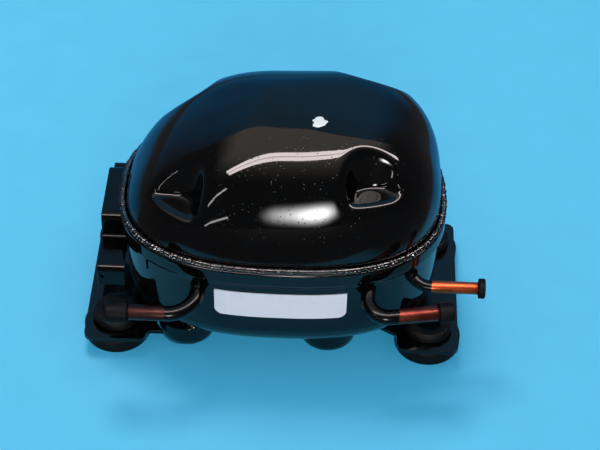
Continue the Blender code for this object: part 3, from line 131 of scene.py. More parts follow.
def turnedPiece(name, profile, place, axis=(0, 0, 1), segments=72, sharpAngle=None):
    # profile is a closed ring of (radius, height) along the axis
    along = Vector(axis).normalized()
    side = along.orthogonal().normalized()
    other = along.cross(side)
    points = []
    for k in range(segments):
        angle = fullTurn * k / segments
        out = side * math.cos(angle) + other * math.sin(angle)
        points += [Vector(place) + out * radius + along * height for radius, height in profile]
    return faceOutward(addMesh(name, points, gridFaces(segments, len(profile), wrapRows=True)), sharpAngle)


def sweepLoops(path, radii, sides):
    # rings of points square to the path, carried along without twist
    path = [Vector(p) for p in path]
    ways = [(b - a).normalized() for a, b in zip(path, path[1:])]
    tangents = [ways[0]] + [(a + b).normalized() for a, b in zip(ways, ways[1:])] + [ways[-1]]
    side, loops = tangents[0].orthogonal().normalized(), []
    for here, tangent, radius in zip(path, tangents, radii):
        side = (side - tangent * side.dot(tangent)).normalized()
        other = tangent.cross(side)
        angles = [fullTurn * k / sides for k in range(sides)]
        loops.append([here + side * math.cos(a) * radius + other * math.sin(a) * radius for a in angles])
    return loops


def loopPiece(name, loops, ring=False, sharpAngle=None):
    # loops of equal length skinned one to the next; the ends are closed unless the loops form a ring
    columns = len(loops[0])
    faces = gridFaces(len(loops), columns, wrapRows=ring)
    if not ring:
        faces += [tuple(range(columns)), tuple((len(loops) - 1) * columns + k for k in range(columns))]
    return faceOutward(addMesh(name, [p for loop in loops for p in loop], faces), sharpAngle)


def applySteps(piece):
    depsgraph = bpy.context.evaluated_depsgraph_get()
    done = bpy.data.meshes.new_from_object(piece.evaluated_get(depsgraph))
    piece.modifiers.clear()
    piece.data = done
    return piece


def cutWith(piece, tool):
    step = piece.modifiers.new("hole", "BOOLEAN")
    step.operation, step.object, step.solver = "DIFFERENCE", tool, "EXACT"
    applySteps(piece)
    bpy.data.objects.remove(tool)
    return piece


def softBevel(piece, width, segments=3, angle=35):
    step = piece.modifiers.new("edge", "BEVEL")
    step.width, step.segments, step.limit_method = width, segments, "ANGLE"
    step.angle_limit = math.radians(angle)
    return applySteps(piece)


def smoothMax(a, b, reach):
    share = np.clip(0.5 + 0.5 * (a - b) / reach, 0, 1)
    return b + (a - b) * share + reach * share * (1 - share)


def dress(piece, finish, body, *nodes, slot=None):
    piece.data.materials.clear()
    piece.data.materials.append(finish)
    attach(piece, body)
    if nodes:
        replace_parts(piece, *nodes)
    return piece


# Material helpers, then the effects that several finishes share

def connect(tree, socket, value):
    if isinstance(value, bpy.types.NodeSocket):
        tree.links.new(value, socket)
    else:
        socket.default_value = value


def put(tree, kind, feeds=(), **settings):
    made = tree.nodes.new("ShaderNode" + kind)
    for key, value in settings.items():
        setattr(made, key, value)
    for key, value in dict(feeds).items():
        connect(tree, made.inputs[key], value)
    return made


def maths(tree, operation, a, b=0.0, clamp=False):
    return put(tree, "Math", {0: a, 1: b}, operation=operation, use_clamp=clamp).outputs[0]


def fade(tree, value, low, high, start=0.0, end=1.0):
    feeds = {"Value": value, "From Min": low, "From Max": high, "To Min": start, "To Max": end}
    return put(tree, "MapRange", feeds, interpolation_type="SMOOTHSTEP").outputs[0]


def noise(tree, place, scale, detail=2.0, rough=0.5):
    feeds = {"Vector": place, "Scale": scale, "Detail": detail, "Roughness": rough}
    return put(tree, "TexNoise", feeds).outputs[0]


def mixColour(tree, share, first, second):
    made = put(tree, "Mix", data_type="RGBA")
    for k, value in ((0, share), (6, first), (7, second)):   # the share, then the two colours
        connect(tree, made.inputs[k], value)
    return made.outputs[2]


def startGroup(name, inputs, outputs):
    tree = bpy.data.node_groups.new(name, "ShaderNodeTree")
    for label, value in inputs.items():
        kind = "NodeSocketVector" if isinstance(value, tuple) else "NodeSocketFloat"
        tree.interface.new_socket(label, in_out="INPUT", socket_type=kind).default_value = value
    for label in outputs:
        tree.interface.new_socket(label, in_out="OUTPUT", socket_type="NodeSocketFloat")
    return tree, tree.nodes.new("NodeGroupInput").outputs, tree.nodes.new("NodeGroupOutput").inputs


def useGroup(tree, group, values):
    return put(tree, "Group", values, node_tree=group).outputs


def makePaintFilm():
    # gentle orange peel, a few dust nibs caught in the film, and a broad change of gloss
    tree, given, result = startGroup(
        "paintFilm", {"Vector": (0, 0, 0), "Peel Scale": 190.0, "Nib Scale": 500.0, "Nib Share": 0.05},
        ("Height", "Nibs", "Haze"))
    peel = noise(tree, given["Vector"], given["Peel Scale"])
    cells = put(tree, "TexVoronoi", {"Vector": given["Vector"], "Scale": given["Nib Scale"]})
    lottery = put(tree, "SeparateColor", {0: cells.outputs["Color"]}).outputs[0]
    chosen = maths(tree, "LESS_THAN", lottery, given["Nib Share"])
    nib = maths(tree, "MULTIPLY", chosen, fade(tree, cells.outputs["Distance"], 0.08, 0.34, 1.0, 0.0))
    height = maths(tree, "ADD", maths(tree, "MULTIPLY", peel, 0.14), nib)
    haze = fade(tree, noise(tree, given["Vector"], 34.0, 3.0, 0.6), 0.35, 0.75)
    for label, value in (("Height", height), ("Nibs", nib), ("Haze", haze)):
        tree.links.new(value, result[label])
    return tree


def makeRubberSkin():
    # moulded skin: fine pimples, and a pale bloom in broad patches
    tree, given, result = startGroup("rubberSkin", {"Vector": (0, 0, 0), "Pimple Scale": 2600.0},
                                     ("Height", "Bloom"))
    grain = noise(tree, given["Vector"], given["Pimple Scale"], 3.0, 0.6)
    bloom = fade(tree, noise(tree, given["Vector"], 130.0, 4.0, 0.65), 0.38, 0.72)
    tree.links.new(grain, result["Height"])
    tree.links.new(bloom, result["Bloom"])
    return tree


def makeMetalGrain():
    # streaks that follow the stretch, over a slow change of tone
    tree, given, result = startGroup(
        "metalGrain", {"Vector": (0, 0, 0), "Stretch": (1.0, 1.0, 1.0), "Grain Scale": 900.0},
        ("Height", "Streak", "Stain"))
    pulled = put(tree, "VectorMath", {0: given["Vector"], 1: given["Stretch"]}, operation="MULTIPLY")
    streak = noise(tree, pulled.outputs[0], given["Grain Scale"], 4.0, 0.6)
    stain = fade(tree, noise(tree, given["Vector"], 120.0, 4.0, 0.6), 0.36, 0.70)
    for label, value in (("Height", streak), ("Streak", streak), ("Stain", stain)):
        tree.links.new(value, result[label])
    return tree


def makePaintLine():
    # where brushed paint stops along a tube, with a ragged edge; 1 on the painted side
    tree, given, result = startGroup(
        "paintLine", {"Vector": (0, 0, 0), "Edge": 0.0, "Way": 1.0}, ("Painted",))
    along = put(tree, "SeparateXYZ", {0: given["Vector"]}).outputs[0]
    ragged = maths(tree, "SUBTRACT", noise(tree, given["Vector"], 700.0), 0.5)
    ragged = maths(tree, "MULTIPLY", ragged, 0.0016)
    past = maths(tree, "MULTIPLY", maths(tree, "SUBTRACT", along, given["Edge"]), given["Way"])
    painted = fade(tree, maths(tree, "ADD", past, ragged), -0.00015, 0.00015, 1.0, 0.0)
    tree.links.new(painted, result["Painted"])
    return tree


paintFilm, rubberSkin = makePaintFilm(), makeRubberSkin()
metalGrain, paintLine = makeMetalGrain(), makePaintLine()


def startFinish(name, constants):
    finish = bpy.data.materials.new(name)
    finish.use_nodes = True
    tree = finish.node_tree
    shader = tree.nodes["Principled BSDF"]
    for key, value in constants.items():
        shader.inputs[key].default_value = value
    return finish, tree, shader, put(tree, "TexCoord").outputs["Object"]


def feed(tree, shader, **values):
    for key, value in values.items():
        tree.links.new(value, shader.inputs[{"colour": "Base Color"}.get(key, key.capitalize())])


def bump(tree, shader, height, distance):
    made = put(tree, "Bump", {"Height": height, "Distance": distance, "Strength": 1.0})
    tree.links.new(made.outputs[0], shader.inputs["Normal"])


def paintFinish(name, look):
    finish, tree, shader, place = startFinish(name, {"IOR": look["ior"]})
    film = useGroup(tree, paintFilm, {"Vector": place, "Peel Scale": look["peelScale"],
                                      "Nib Scale": look["nibScale"], "Nib Share": look["nibShare"]})
    feed(tree, shader, colour=mixColour(tree, film["Haze"], look["deep"], look["thin"]),
         roughness=fade(tree, film["Haze"], 0.0, 1.0, *look["roughness"]))
    bump(tree, shader, film["Height"], look["relief"])
    return finish


def rubberFinish(name, look):
    finish, tree, shader, place = startFinish(name, {"Specular IOR Level": look["specular"]})
    skin = useGroup(tree, rubberSkin, {"Vector": place, "Pimple Scale": look["pimpleScale"]})
    feed(tree, shader, colour=mixColour(tree, skin["Bloom"], look["deep"], look["bloom"]),
         roughness=fade(tree, skin["Bloom"], 0.0, 1.0, *look["roughness"]))
    bump(tree, shader, skin["Height"], look["relief"])
    return finish


def metalFinish(name, look):
    finish, tree, shader, place = startFinish(name, {"Metallic": look.get("metallic", 1.0)})
    grain = useGroup(tree, metalGrain, {"Vector": place, "Stretch": look.get("stretch", (1, 1, 1)),
                                        "Grain Scale": look.get("grainScale", 900.0)})
    share = maths(tree, "MULTIPLY", maths(tree, "ADD", grain["Streak"], grain["Stain"]), 0.5)
    feed(tree, shader, colour=mixColour(tree, share, look["bright"], look["dull"]),
         roughness=fade(tree, share, 0.0, 1.0, *look["roughness"]))
    bump(tree, shader, grain["Height"], look.get("relief", 0.00002))
    return finish


shellPaint = paintFinish("shellPaint", dict(
    deep=(0.0010, 0.0010, 0.0011, 1), thin=(0.0018, 0.0018, 0.0020, 1), roughness=(0.030, 0.065), ior=1.40,
    peelScale=170.0, nibScale=980.0, nibShare=0.075, relief=0.00005))
weldPaint = paintFinish("weldPaint", dict(
    deep=(0.003, 0.003, 0.003, 1), thin=(0.010, 0.009, 0.008, 1), roughness=(0.08, 0.20), ior=1.9,
    peelScale=800.0, nibScale=520.0, nibShare=0.70, relief=0.00120))
platePaint = paintFinish("platePaint", dict(
    deep=(0.0012, 0.0012, 0.0013, 1), thin=(0.0024, 0.0024, 0.0026, 1), roughness=(0.08, 0.16), ior=1.40,
    peelScale=260.0, nibScale=700.0, nibShare=0.08, relief=0.00005))
bracketPaint = paintFinish("bracketPaint", dict(
    deep=(0.0010, 0.0010, 0.0011, 1), thin=(0.0020, 0.0020, 0.0022, 1), roughness=(0.08, 0.16), ior=1.30,
    peelScale=260.0, nibScale=700.0, nibShare=0.08, relief=0.00005))
footRubber = rubberFinish("footRubber", dict(
    deep=(0.0030, 0.0030, 0.0032, 1), bloom=(0.0075, 0.0070, 0.0070, 1), roughness=(0.42, 0.62), specular=0.1,
    pimpleScale=2600.0, relief=0.00006))
plugRubber = rubberFinish("plugRubber", dict(
    deep=(0.0020, 0.0022, 0.0028, 1), bloom=(0.0042, 0.0044, 0.0052, 1), roughness=(0.46, 0.66),
    specular=0.08, pimpleScale=3200.0, relief=0.00005))


def tubeFinish(name, look):
    # bare drawn copper with black paint brushed on from the shell end
    finish, tree, shader, place = startFinish(name, {"IOR": 1.28})
    grain = useGroup(tree, metalGrain, {"Vector": place, "Stretch": look["stretch"], "Grain Scale": 1500.0})
    film = useGroup(tree, paintFilm, {"Vector": place, "Peel Scale": 300.0, "Nib Scale": 650.0,
                                      "Nib Share": 0.10})
    line = useGroup(tree, paintLine, {"Vector": place, "Edge": look["edge"], "Way": look["way"]})
    painted = line["Painted"]
    copper = mixColour(tree, grain["Stain"], look["bright"], look["dull"])
    copper = mixColour(tree, maths(tree, "MULTIPLY", grain["Streak"], 0.5), copper, look["dark"])
    feed(tree, shader, colour=mixColour(tree, painted, copper, look["paint"]),
         metallic=maths(tree, "SUBTRACT", 1.0, painted),
         roughness=fade(tree, painted, 0.0, 1.0, look["copperRoughness"], look["paintRoughness"]))
    bare = maths(tree, "MULTIPLY", grain["Height"], 0.25)
    bump(tree, shader, maths(tree, "ADD", maths(tree, "MULTIPLY", film["Height"], painted), bare), 0.00004)
    return finish


def labelFinish(look):
    # blank printed film: faint mottle and handling marks
    finish, tree, shader, place = startFinish("labelWhite", {"IOR": 1.45})
    film = useGroup(tree, paintFilm, {"Vector": place, "Peel Scale": 420.0, "Nib Scale": 800.0,
                                      "Nib Share": 0.03})
    rub = fade(tree, noise(tree, place, 60.0, 5.0, 0.65), 0.52, 0.80)
    feed(tree, shader, colour=mixColour(tree, rub, look["white"], look["rubbed"]),
         roughness=fade(tree, film["Haze"], 0.0, 1.0, *look["roughness"]))
    bump(tree, shader, film["Height"], 0.00002)
    return finish


labelWhite = labelFinish(dict(
    white=(0.86, 0.81, 0.88, 1), rubbed=(0.77, 0.73, 0.80, 1), roughness=(0.28, 0.42)))
daubWhite = paintFinish("daubWhite", dict(
    deep=(0.74, 0.76, 0.78, 1), thin=(0.62, 0.65, 0.68, 1), roughness=(0.30, 0.50), ior=1.45,
    peelScale=500.0, nibScale=900.0, nibShare=0.2, relief=0.00008))

# finishes of the pieces that stay inside the shell, by their slot
innerLooks = dict(
    terminal_steel=dict(bright=(0.52, 0.52, 0.53, 1), dull=(0.36, 0.36, 0.37, 1), roughness=(0.28, 0.44)),
    pin_metal=dict(bright=(0.66, 0.56, 0.36, 1), dull=(0.48, 0.40, 0.25, 1), roughness=(0.25, 0.40)),
    cast_iron=dict(bright=(0.25, 0.25, 0.25, 1), dull=(0.14, 0.14, 0.14, 1), roughness=(0.55, 0.75),
                   grainScale=520.0, relief=0.00025),
    ground_steel=dict(bright=(0.60, 0.60, 0.61, 1), dull=(0.48, 0.48, 0.49, 1), roughness=(0.18, 0.32),
                      stretch=(1.0, 1.0, 12.0)),
    bolt_steel=dict(bright=(0.36, 0.36, 0.37, 1), dull=(0.22, 0.22, 0.22, 1), roughness=(0.32, 0.50)),
    spring_steel=dict(bright=(0.42, 0.42, 0.44, 1), dull=(0.28, 0.28, 0.30, 1), roughness=(0.25, 0.40)),
    laminations=dict(bright=(0.32, 0.32, 0.33, 1), dull=(0.18, 0.18, 0.19, 1), roughness=(0.38, 0.55),
                     stretch=(0.05, 0.05, 2.2), relief=0.00012),
    copper_wire=dict(bright=(0.56, 0.24, 0.10, 1), dull=(0.34, 0.13, 0.05, 1), roughness=(0.30, 0.45),
                     grainScale=1300.0, relief=0.00020),
    rotor_steel=dict(bright=(0.52, 0.52, 0.53, 1), dull=(0.38, 0.38, 0.39, 1), roughness=(0.28, 0.42),
                     stretch=(0.1, 0.1, 2.0)),
    head_aluminium=dict(bright=(0.66, 0.67, 0.68, 1), dull=(0.48, 0.49, 0.50, 1), roughness=(0.42, 0.58),
                        grainScale=650.0, relief=0.00010),
    slider_iron=dict(bright=(0.34, 0.33, 0.31, 1), dull=(0.24, 0.23, 0.22, 1), roughness=(0.35, 0.50)),
    moulded_plastic=dict(bright=(0.10, 0.10, 0.11, 1), dull=(0.055, 0.055, 0.06, 1), roughness=(0.42, 0.58),
                         metallic=0.0, grainScale=1500.0),
    gasket=dict(bright=(0.16, 0.14, 0.11, 1), dull=(0.09, 0.08, 0.07, 1), roughness=(0.70, 0.85),
                metallic=0.0, grainScale=1800.0, relief=0.00008),
    line_steel=dict(bright=(0.40, 0.40, 0.40, 1), dull=(0.24, 0.22, 0.20, 1), roughness=(0.30, 0.48)))
innerFinish = {slot: metalFinish(slot, look) for slot, look in innerLooks.items()}
print("finishes made:", len(bpy.data.materials))


# Shell: rounded rectangle in plan, sizes read from the frame
domeLow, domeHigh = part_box("upper_shell")
bowlLow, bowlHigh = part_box("lower_shell")
shell = dict(x=(domeLow.x + domeHigh.x) / 2, y=(domeLow.y + domeHigh.y) / 2,
             halfLength=(domeHigh.x - domeLow.x) / 2, halfWidth=(domeHigh.y - domeLow.y) / 2,
             seam=bowlHigh.z, squareness=2.57, wall=0.0026, columns=400)
turns = np.linspace(0, fullTurn, shell["columns"], endpoint=False)


def planRing(grow, z, around=None, squareness=None):
    around = turns if around is None else around
    squareness = squareness or shell["squareness"]
    c, s = np.cos(around), np.sin(around)
    spread = (np.abs(c) ** squareness + np.abs(s) ** squareness) ** (-1 / squareness)
    return np.stack([shell["x"] + (shell["halfLength"] + grow) * spread * c,
                     shell["y"] + (shell["halfWidth"] + grow) * spread * s, np.full_like(c, z)], axis=1)


dome = dict(rise=0.0660, crownSquareness=3.40, fullness=2.10, lean=0.54, crownFullness=2.2, crownReach=0.20,
            endShape=(0.27, 2.25, 1.52), rows=210, innerRows=70)


def domeRing(lift, inset):
    # the profile is fuller towards +X; near the very top it settles to one round form
    c, s = np.cos(turns), np.sin(turns)
    near = math.exp(-(math.cos(lift) / dome["crownReach"]) ** 2)
    even, rise, fall = dome["endShape"]
    endward = c * (even + rise * c ** 2 - fall * c ** 4)   # flat along the sides, full at the ends
    full = dome["fullness"] + dome["lean"] * endward
    full = full + (dome["crownFullness"] - full) * near
    up = math.sin(lift) ** (2 / full)
    square = shell["squareness"] + (dome["crownSquareness"] - shell["squareness"]) * up
    out = max(math.cos(lift), 0.0) ** (2 / full)
    spread = (np.abs(c) ** square + np.abs(s) ** square) ** (-1 / square)
    return np.stack([shell["x"] + (shell["halfLength"] - inset) * out * spread * c,
                     shell["y"] + (shell["halfWidth"] - inset) * out * spread * s,
                     shell["seam"] + (dome["rise"] - inset) * up], axis=1)


# four dents pressed into the corners: where, how wide and square, how high the shelf, how far the wall leans
pocketRows = dict(left=dict(reach=(-0.0616, 0.0491), radius=0.0182, square=3.0, shelf=0.0980, lean=0.24,
                            rearMore=0.0),
                  right=dict(reach=(0.0476, 0.0480), radius=0.0128, square=2.3, shelf=0.1118, lean=0.25,
                             rearMore=0.0040))
pocketShape = dict(crease=0.0016, rim=0.0028, pushOut=0.5, pushDown=0.7, deepest=0.045, highest=-0.020,
                   around=0.025, below=0.030, samples=140, halvings=18, easing=12, easeReach=4, moved=2e-5)


def pressPockets(points, grow):
    for row in pocketRows.values():
        for side in (-1, 1):
            place = np.array([shell["x"] + row["reach"][0], shell["y"] + side * row["reach"][1]])
            push = np.array([-math.copysign(pocketShape["pushOut"], row["reach"][0]),
                             -side * pocketShape["pushOut"], -pocketShape["pushDown"]])
            push /= np.linalg.norm(push)
            shelf, radius = row["shelf"] - grow, row["radius"] + grow + (row["rearMore"] if side > 0 else 0)

            def outside(p):
                away = np.abs(p[..., :2] - place) ** row["square"]
                wall = away.sum(axis=-1) ** (1 / row["square"]) - radius - row["lean"] * (p[..., 2] - shelf)
                return smoothMax(wall, shelf - p[..., 2], pocketShape["crease"])

            away = np.hypot(points[:, 0] - place[0], points[:, 1] - place[1])
            high = points[:, 2] > shelf - pocketShape["below"]
            near = np.nonzero((away < radius + pocketShape["around"]) & high)[0]
            start = points[near]
            steps = np.linspace(pocketShape["deepest"], pocketShape["highest"], pocketShape["samples"])
            inside = outside(start[:, None, :] + steps[None, :, None] * push) < 0
            met = inside.any(axis=1) & ~inside[:, 0]
            first = inside.argmax(axis=1)
            high, low = steps[np.maximum(first - 1, 0)], steps[first]
            for _ in range(pocketShape["halvings"]):
                middle = (high + low) / 2
                within = outside(start + middle[:, None] * push) < 0
                low, high = np.where(within, middle, low), np.where(within, high, middle)
            depth = np.where(met, smoothMax((high + low) / 2, 0.0, pocketShape["rim"]), 0.0)
            points[near] = start + depth[:, None] * push
    return points


def easePockets(plain, pressed, rings):
    # points in and just round a pocket settle towards their neighbours, as sheet does under a round punch
    grid = pressed[:-1].reshape(rings, -1, 3)
    shifts = np.linalg.norm(pressed[:-1] - plain[:-1], axis=1).reshape(rings, -1)
    touched = shifts > pocketShape["moved"]
    for _ in range(pocketShape["easeReach"]):
        touched = touched | np.roll(touched, 1, 1) | np.roll(touched, -1, 1)
        touched[1:-1] |= touched[:-2] | touched[2:]
    touched[[0, -1]] = False
    for _ in range(pocketShape["easing"]):
        mean = (np.roll(grid, 1, 1) + np.roll(grid, -1, 1) + np.roll(grid, 1, 0) + np.roll(grid, -1, 0)) / 4
        grid = np.where(touched[..., None], (grid + mean) / 2, grid)
    return np.concatenate([grid.reshape(-1, 3), pressed[-1:]])


def domeSkin(inset, rows):
    rings = [planRing(-inset, z) for z in np.linspace(domeLow.z, shell["seam"], 5)[:-1]]
    rings += [domeRing(math.pi / 2 * k / rows, inset) for k in range(rows)]
    top = np.array([[shell["x"], shell["y"], shell["seam"] + dome["rise"] - inset]])
    plain = np.concatenate(rings + [top])
    return easePockets(plain, pressPockets(plain.copy(), inset), len(rings)), len(rings)


def closedSkin(name, outer, outerRings, inner, innerRings):
    # an outer and an inner skin, each ending in one point, joined along their first rings
    columns = shell["columns"]
    faces = gridFaces(outerRings, columns)
    tip = outerRings * columns
    faces += [((outerRings - 1) * columns + c, (outerRings - 1) * columns + (c + 1) % columns, tip)
              for c in range(columns)]
    base = len(outer)
    faces += [tuple(base + v for v in reversed(face)) for face in gridFaces(innerRings, columns)]
    tip = base + innerRings * columns
    last = base + (innerRings - 1) * columns
    faces += [(last + (c + 1) % columns, last + c, tip) for c in range(columns)]
    faces += [((c + 1) % columns, c, base + c, base + (c + 1) % columns) for c in range(columns)]
    return faceOutward(addMesh(name, np.concatenate([outer, inner]), faces), 70)


upperShell = closedSkin("upperShell", *domeSkin(0.0, dome["rows"]),
                        *domeSkin(shell["wall"], dome["innerRows"]))
dress(upperShell, shellPaint, "shell", "upper_shell")
print("upper shell:", len(upperShell.data.vertices), "points")


# Lower shell: rolled bell mouth, shoulder, tapered wall, round bottom with four spring cups
bowl = dict(gap=0.0003, bellOut=0.0034, bellLow=0.0675, shoulderOut=0.0010, shoulder=0.0640, footIn=0.0005,
            bottom=0.0120, fillet=0.0255, innerFillet=0.0172, floorIn=0.0475, lipRound=0.0009,
            bellRound=0.0024, neckRound=0.0030, mouthRound=0.0002, step=0.0012)
cups = dict(xs=(-0.0468, 0.0302), ys=(-0.0340, 0.0320), radius=0.0156, innerRadius=0.0100, low=0.0031,
            heart=0.0182, corner=9.0, blend=0.0022, around=0.030, below=0.0004)


def pressCups(points, grow):
    # each point moves out along the ray from the heart of its cup, as far as the round-bottomed cup reaches
    for x in cups["xs"]:
        for y in cups["ys"]:
            heart = np.array([x, y, cups["heart"]])
            ray = points - heart
            far = np.linalg.norm(ray, axis=1)
            wide, deep = np.hypot(ray[:, 0], ray[:, 1]), np.maximum(-ray[:, 2], 1e-9)
            toWall = (cups["innerRadius"] if grow else cups["radius"]) * far / np.maximum(wide, 1e-9)
            toFloor = (cups["heart"] - cups["low"] - grow) * far / deep
            reach = (toWall ** -cups["corner"] + toFloor ** -cups["corner"]) ** (-1 / cups["corner"])
            near = (wide < cups["around"]) & (points[:, 2] < cups["heart"] - cups["below"])
            pressed = heart + ray * (smoothMax(far, reach, cups["blend"]) / far)[:, None]
            points = np.where(near[:, None], pressed, points)
    return points


def bowlSkin(profile, grow):
    rings = [planRing(out, z) for out, z in fillPath(profile, bowl["step"])]
    out, z = profile[-1]
    middle = np.array([[shell["x"], shell["y"], z]])
    for share in (0.75, 0.5, 0.25):
        rings.append(middle + (planRing(out, z) - middle) * share)
    return pressCups(np.concatenate(rings + [middle]), grow), len(rings)


b, wall = bowl, shell["wall"]
seat = domeLow.z - b["gap"]
outerProfile = roundedPath([
    (b["gap"], seat, 0), (b["gap"], shell["seam"], b["mouthRound"]),
    (b["bellOut"], shell["seam"], b["lipRound"]), (b["bellOut"], b["bellLow"], b["bellRound"]),
    (b["shoulderOut"], b["shoulder"], b["neckRound"]),
    (-b["footIn"], b["bottom"], b["fillet"]), (-b["floorIn"], b["bottom"], 0)], steps=8, closed=False)
innerProfile = roundedPath([
    (b["shoulderOut"] - wall, seat, 0), (b["shoulderOut"] - wall, b["shoulder"], 0),
    (-b["footIn"] - wall, b["bottom"] + wall, b["innerFillet"]), (-b["floorIn"], b["bottom"] + wall, 0)],
    steps=8, closed=False)
lowerShell = closedSkin("lowerShell", *bowlSkin(outerProfile, 0.0), *bowlSkin(innerProfile, wall))
dress(lowerShell, shellPaint, "shell", "lower_shell")
print("lower shell:", len(lowerShell.data.vertices), "points")


# Weld bead in the corner between dome and bell mouth, with the ripples of a hand-fed arc
weld = dict(width=0.0027, height=0.0023, columns=1500, ripple=0.0020, rippleDepth=0.22, wander=0.20,
            wanderShare=0.6, fine=0.12, least=0.66, most=1.32, evenHeight=0.4, seed=11)


def weldBead():
    rng = np.random.default_rng(weld["seed"])
    around = np.linspace(0, fullTurn, weld["columns"], endpoint=False)
    seam = planRing(0.0, 0.0, around)
    run = np.cumsum(np.linalg.norm(np.roll(seam, -1, axis=0) - seam, axis=1))
    pulses = round(run[-1] / weld["ripple"])
    beat = run / run[-1] * pulses
    drift = sum(rng.uniform(0.4, 1.0) * np.sin(fullTurn * run / run[-1] * k + rng.uniform(0, fullTurn))
                for k in rng.integers(7, 90, 14)) / 5.0
    fine = rng.normal(0, 1, weld["columns"])
    fine = (fine + np.roll(fine, 1) + np.roll(fine, -1)) / 3
    scale = 1 + weld["rippleDepth"] * np.abs(np.sin(math.pi * beat))
    scale = scale + weld["wander"] * drift * weld["wanderShare"] + weld["fine"] * fine
    scale = np.clip(scale, weld["least"], weld["most"])
    section = roundedPath([(0, 0, 0), (0.86, 0, 0.15), (0.98, 0.42, 0.3), (0.62, 0.96, 0.3),
                           (0.10, 0.90, 0.15), (0, 0.5, 0)], steps=4)
    even, loops = weld["evenHeight"], []
    for out, up in section:
        ring = np.stack([planRing(bowl["gap"] + weld["width"] * out * s, 0.0, around[k:k + 1])[0]
                         for k, s in enumerate(scale)])
        ring[:, 2] = shell["seam"] + bowl["gap"] + weld["height"] * up * (even + (1 - even) * scale)
        loops.append(ring)
    return loopPiece("shellWeld", loops, ring=True)


dress(weldBead(), weldPaint, "shell", "shell_weld")
print("weld bead made")


# Base plates, cut from sheet with rounded corners and a tongue under the shell
plate = dict(corner=0.0045, inner=0.0040, hole=0.0098, edge=0.00045, holePitchX=0.170, holePitchY=0.070,
             marginIn=0.0170, cupGap=0.0010, tongue=0.0110, tongueHalf=0.0140, webReach=0.0140,
             webLeft=(0.0457, 0.0457), webRight=(0.0411, 0.0329), past=0.001)


def basePlate(name, node, side):
    low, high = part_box(node)
    holeX, holeY = plate["holePitchX"] / 2, plate["holePitchY"] / 2
    outer, tab = max(abs(low.x), abs(high.x)), holeX - plate["marginIn"]
    cupX, (webY, webEnd) = cups["xs"][0 if side < 0 else 1], plate["webLeft" if side < 0 else "webRight"]
    waist = side * cupX + cups["radius"] + plate["cupGap"]
    r, q = plate["corner"], plate["inner"]
    half = [(tab, webY, q), (tab - plate["webReach"], webEnd, q), (waist, plate["tongueHalf"], q),
            (waist - plate["tongue"], plate["tongueHalf"], q / 2)]
    corners = [(tab, low.y, r), (outer, low.y, r), (outer, high.y, r),
               (tab, high.y, min(r, high.y - webY - 1e-4))]
    corners += half + [(x, -y, radius) for x, y, radius in reversed(half)]
    outline = roundedPath(corners, steps=8)
    shape = bmesh.new()
    ring = [shape.verts.new((side * x, y, low.z)) for x, y in outline]
    edges = [shape.edges.new((a, c)) for a, c in zip(ring, ring[1:] + ring[:1])]
    for row in (-1, 1):
        angles = [fullTurn * k / 64 for k in range(64)]
        hole = [shape.verts.new((side * holeX + plate["hole"] * math.cos(a),
                                 row * holeY + plate["hole"] * math.sin(a), low.z)) for a in angles]
        edges += [shape.edges.new((a, c)) for a, c in zip(hole, hole[1:] + hole[:1])]
    bmesh.ops.triangle_fill(shape, use_beauty=True, use_dissolve=False, edges=edges)
    lifted = bmesh.ops.extrude_face_region(shape, geom=shape.faces[:])["geom"]
    bmesh.ops.translate(shape, vec=(0, 0, high.z - low.z),
                        verts=[v for v in lifted if isinstance(v, bmesh.types.BMVert)])
    bmesh.ops.recalc_face_normals(shape, faces=shape.faces)
    mesh = bpy.data.meshes.new(name)
    shape.to_mesh(mesh)
    shape.free()
    mesh.polygons.foreach_set("use_smooth", [True] * len(mesh.polygons))
    piece = bpy.data.objects.new(name, mesh)
    bpy.context.collection.objects.link(piece)
    for y in cups["ys"]:
        reach, under, over = cups["radius"] + plate["cupGap"], low.z - plate["past"], high.z + plate["past"]
        space = [(0, under), (reach, under), (reach, over), (0, over)]
        cutWith(piece, turnedPiece("cupSpace", space, (cupX, y, 0)))
    softBevel(piece, plate["edge"], 3, 50)
    piece.data.set_sharp_from_angle(angle=math.radians(40))
    return dress(piece, platePaint, "shell", node)


for name, node, side in (("leftPlate", "left_base_plate", -1), ("rightPlate", "right_base_plate", 1)):
    basePlate(name, node, side)
print("base plates made")


# Rubber feet: a collar above the plate, a neck through it and a wide foot below
foot = dict(bore=0.0062, radius=0.0178, neck=0.0095, collar=0.0129, soft=0.0018, gap=0.0003, edge=0.0006,
            hem=0.0012)


def rubberFoot(node):
    low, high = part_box(node)
    plateLow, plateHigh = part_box("left_base_plate")
    place = ((low.x + high.x) / 2, (low.y + high.y) / 2, 0)
    f, gap = foot, foot["gap"]
    profile = roundedPath([
        (f["bore"], 0, f["edge"]), (f["radius"], 0, f["hem"]), (f["radius"], plateLow.z - gap, f["soft"]),
        (f["neck"], plateLow.z - gap, 0), (f["neck"], plateHigh.z + gap, 0),
        (f["collar"], plateHigh.z + gap, f["edge"]), (f["collar"], high.z, f["soft"] * 1.3),
        (f["bore"], high.z, f["soft"])], steps=7)
    name = node.replace("_grommet", "Foot").replace("_", "")
    return dress(turnedPiece(name, profile, place, sharpAngle=60), footRubber, "shell", node)


for node in ("front_left_grommet", "front_right_grommet", "rear_left_grommet", "rear_right_grommet"):
    rubberFoot(node)
print("rubber feet made")


# Tubes through the front wall, bent along the shell, and the rubber plugs on their ends
def wallOutset(z):
    footZ = bowl["bottom"] + bowl["fillet"]
    share = (z - footZ) / (bowl["shoulder"] - footZ)
    return -bowl["footIn"] + share * (bowl["shoulderOut"] + bowl["footIn"])


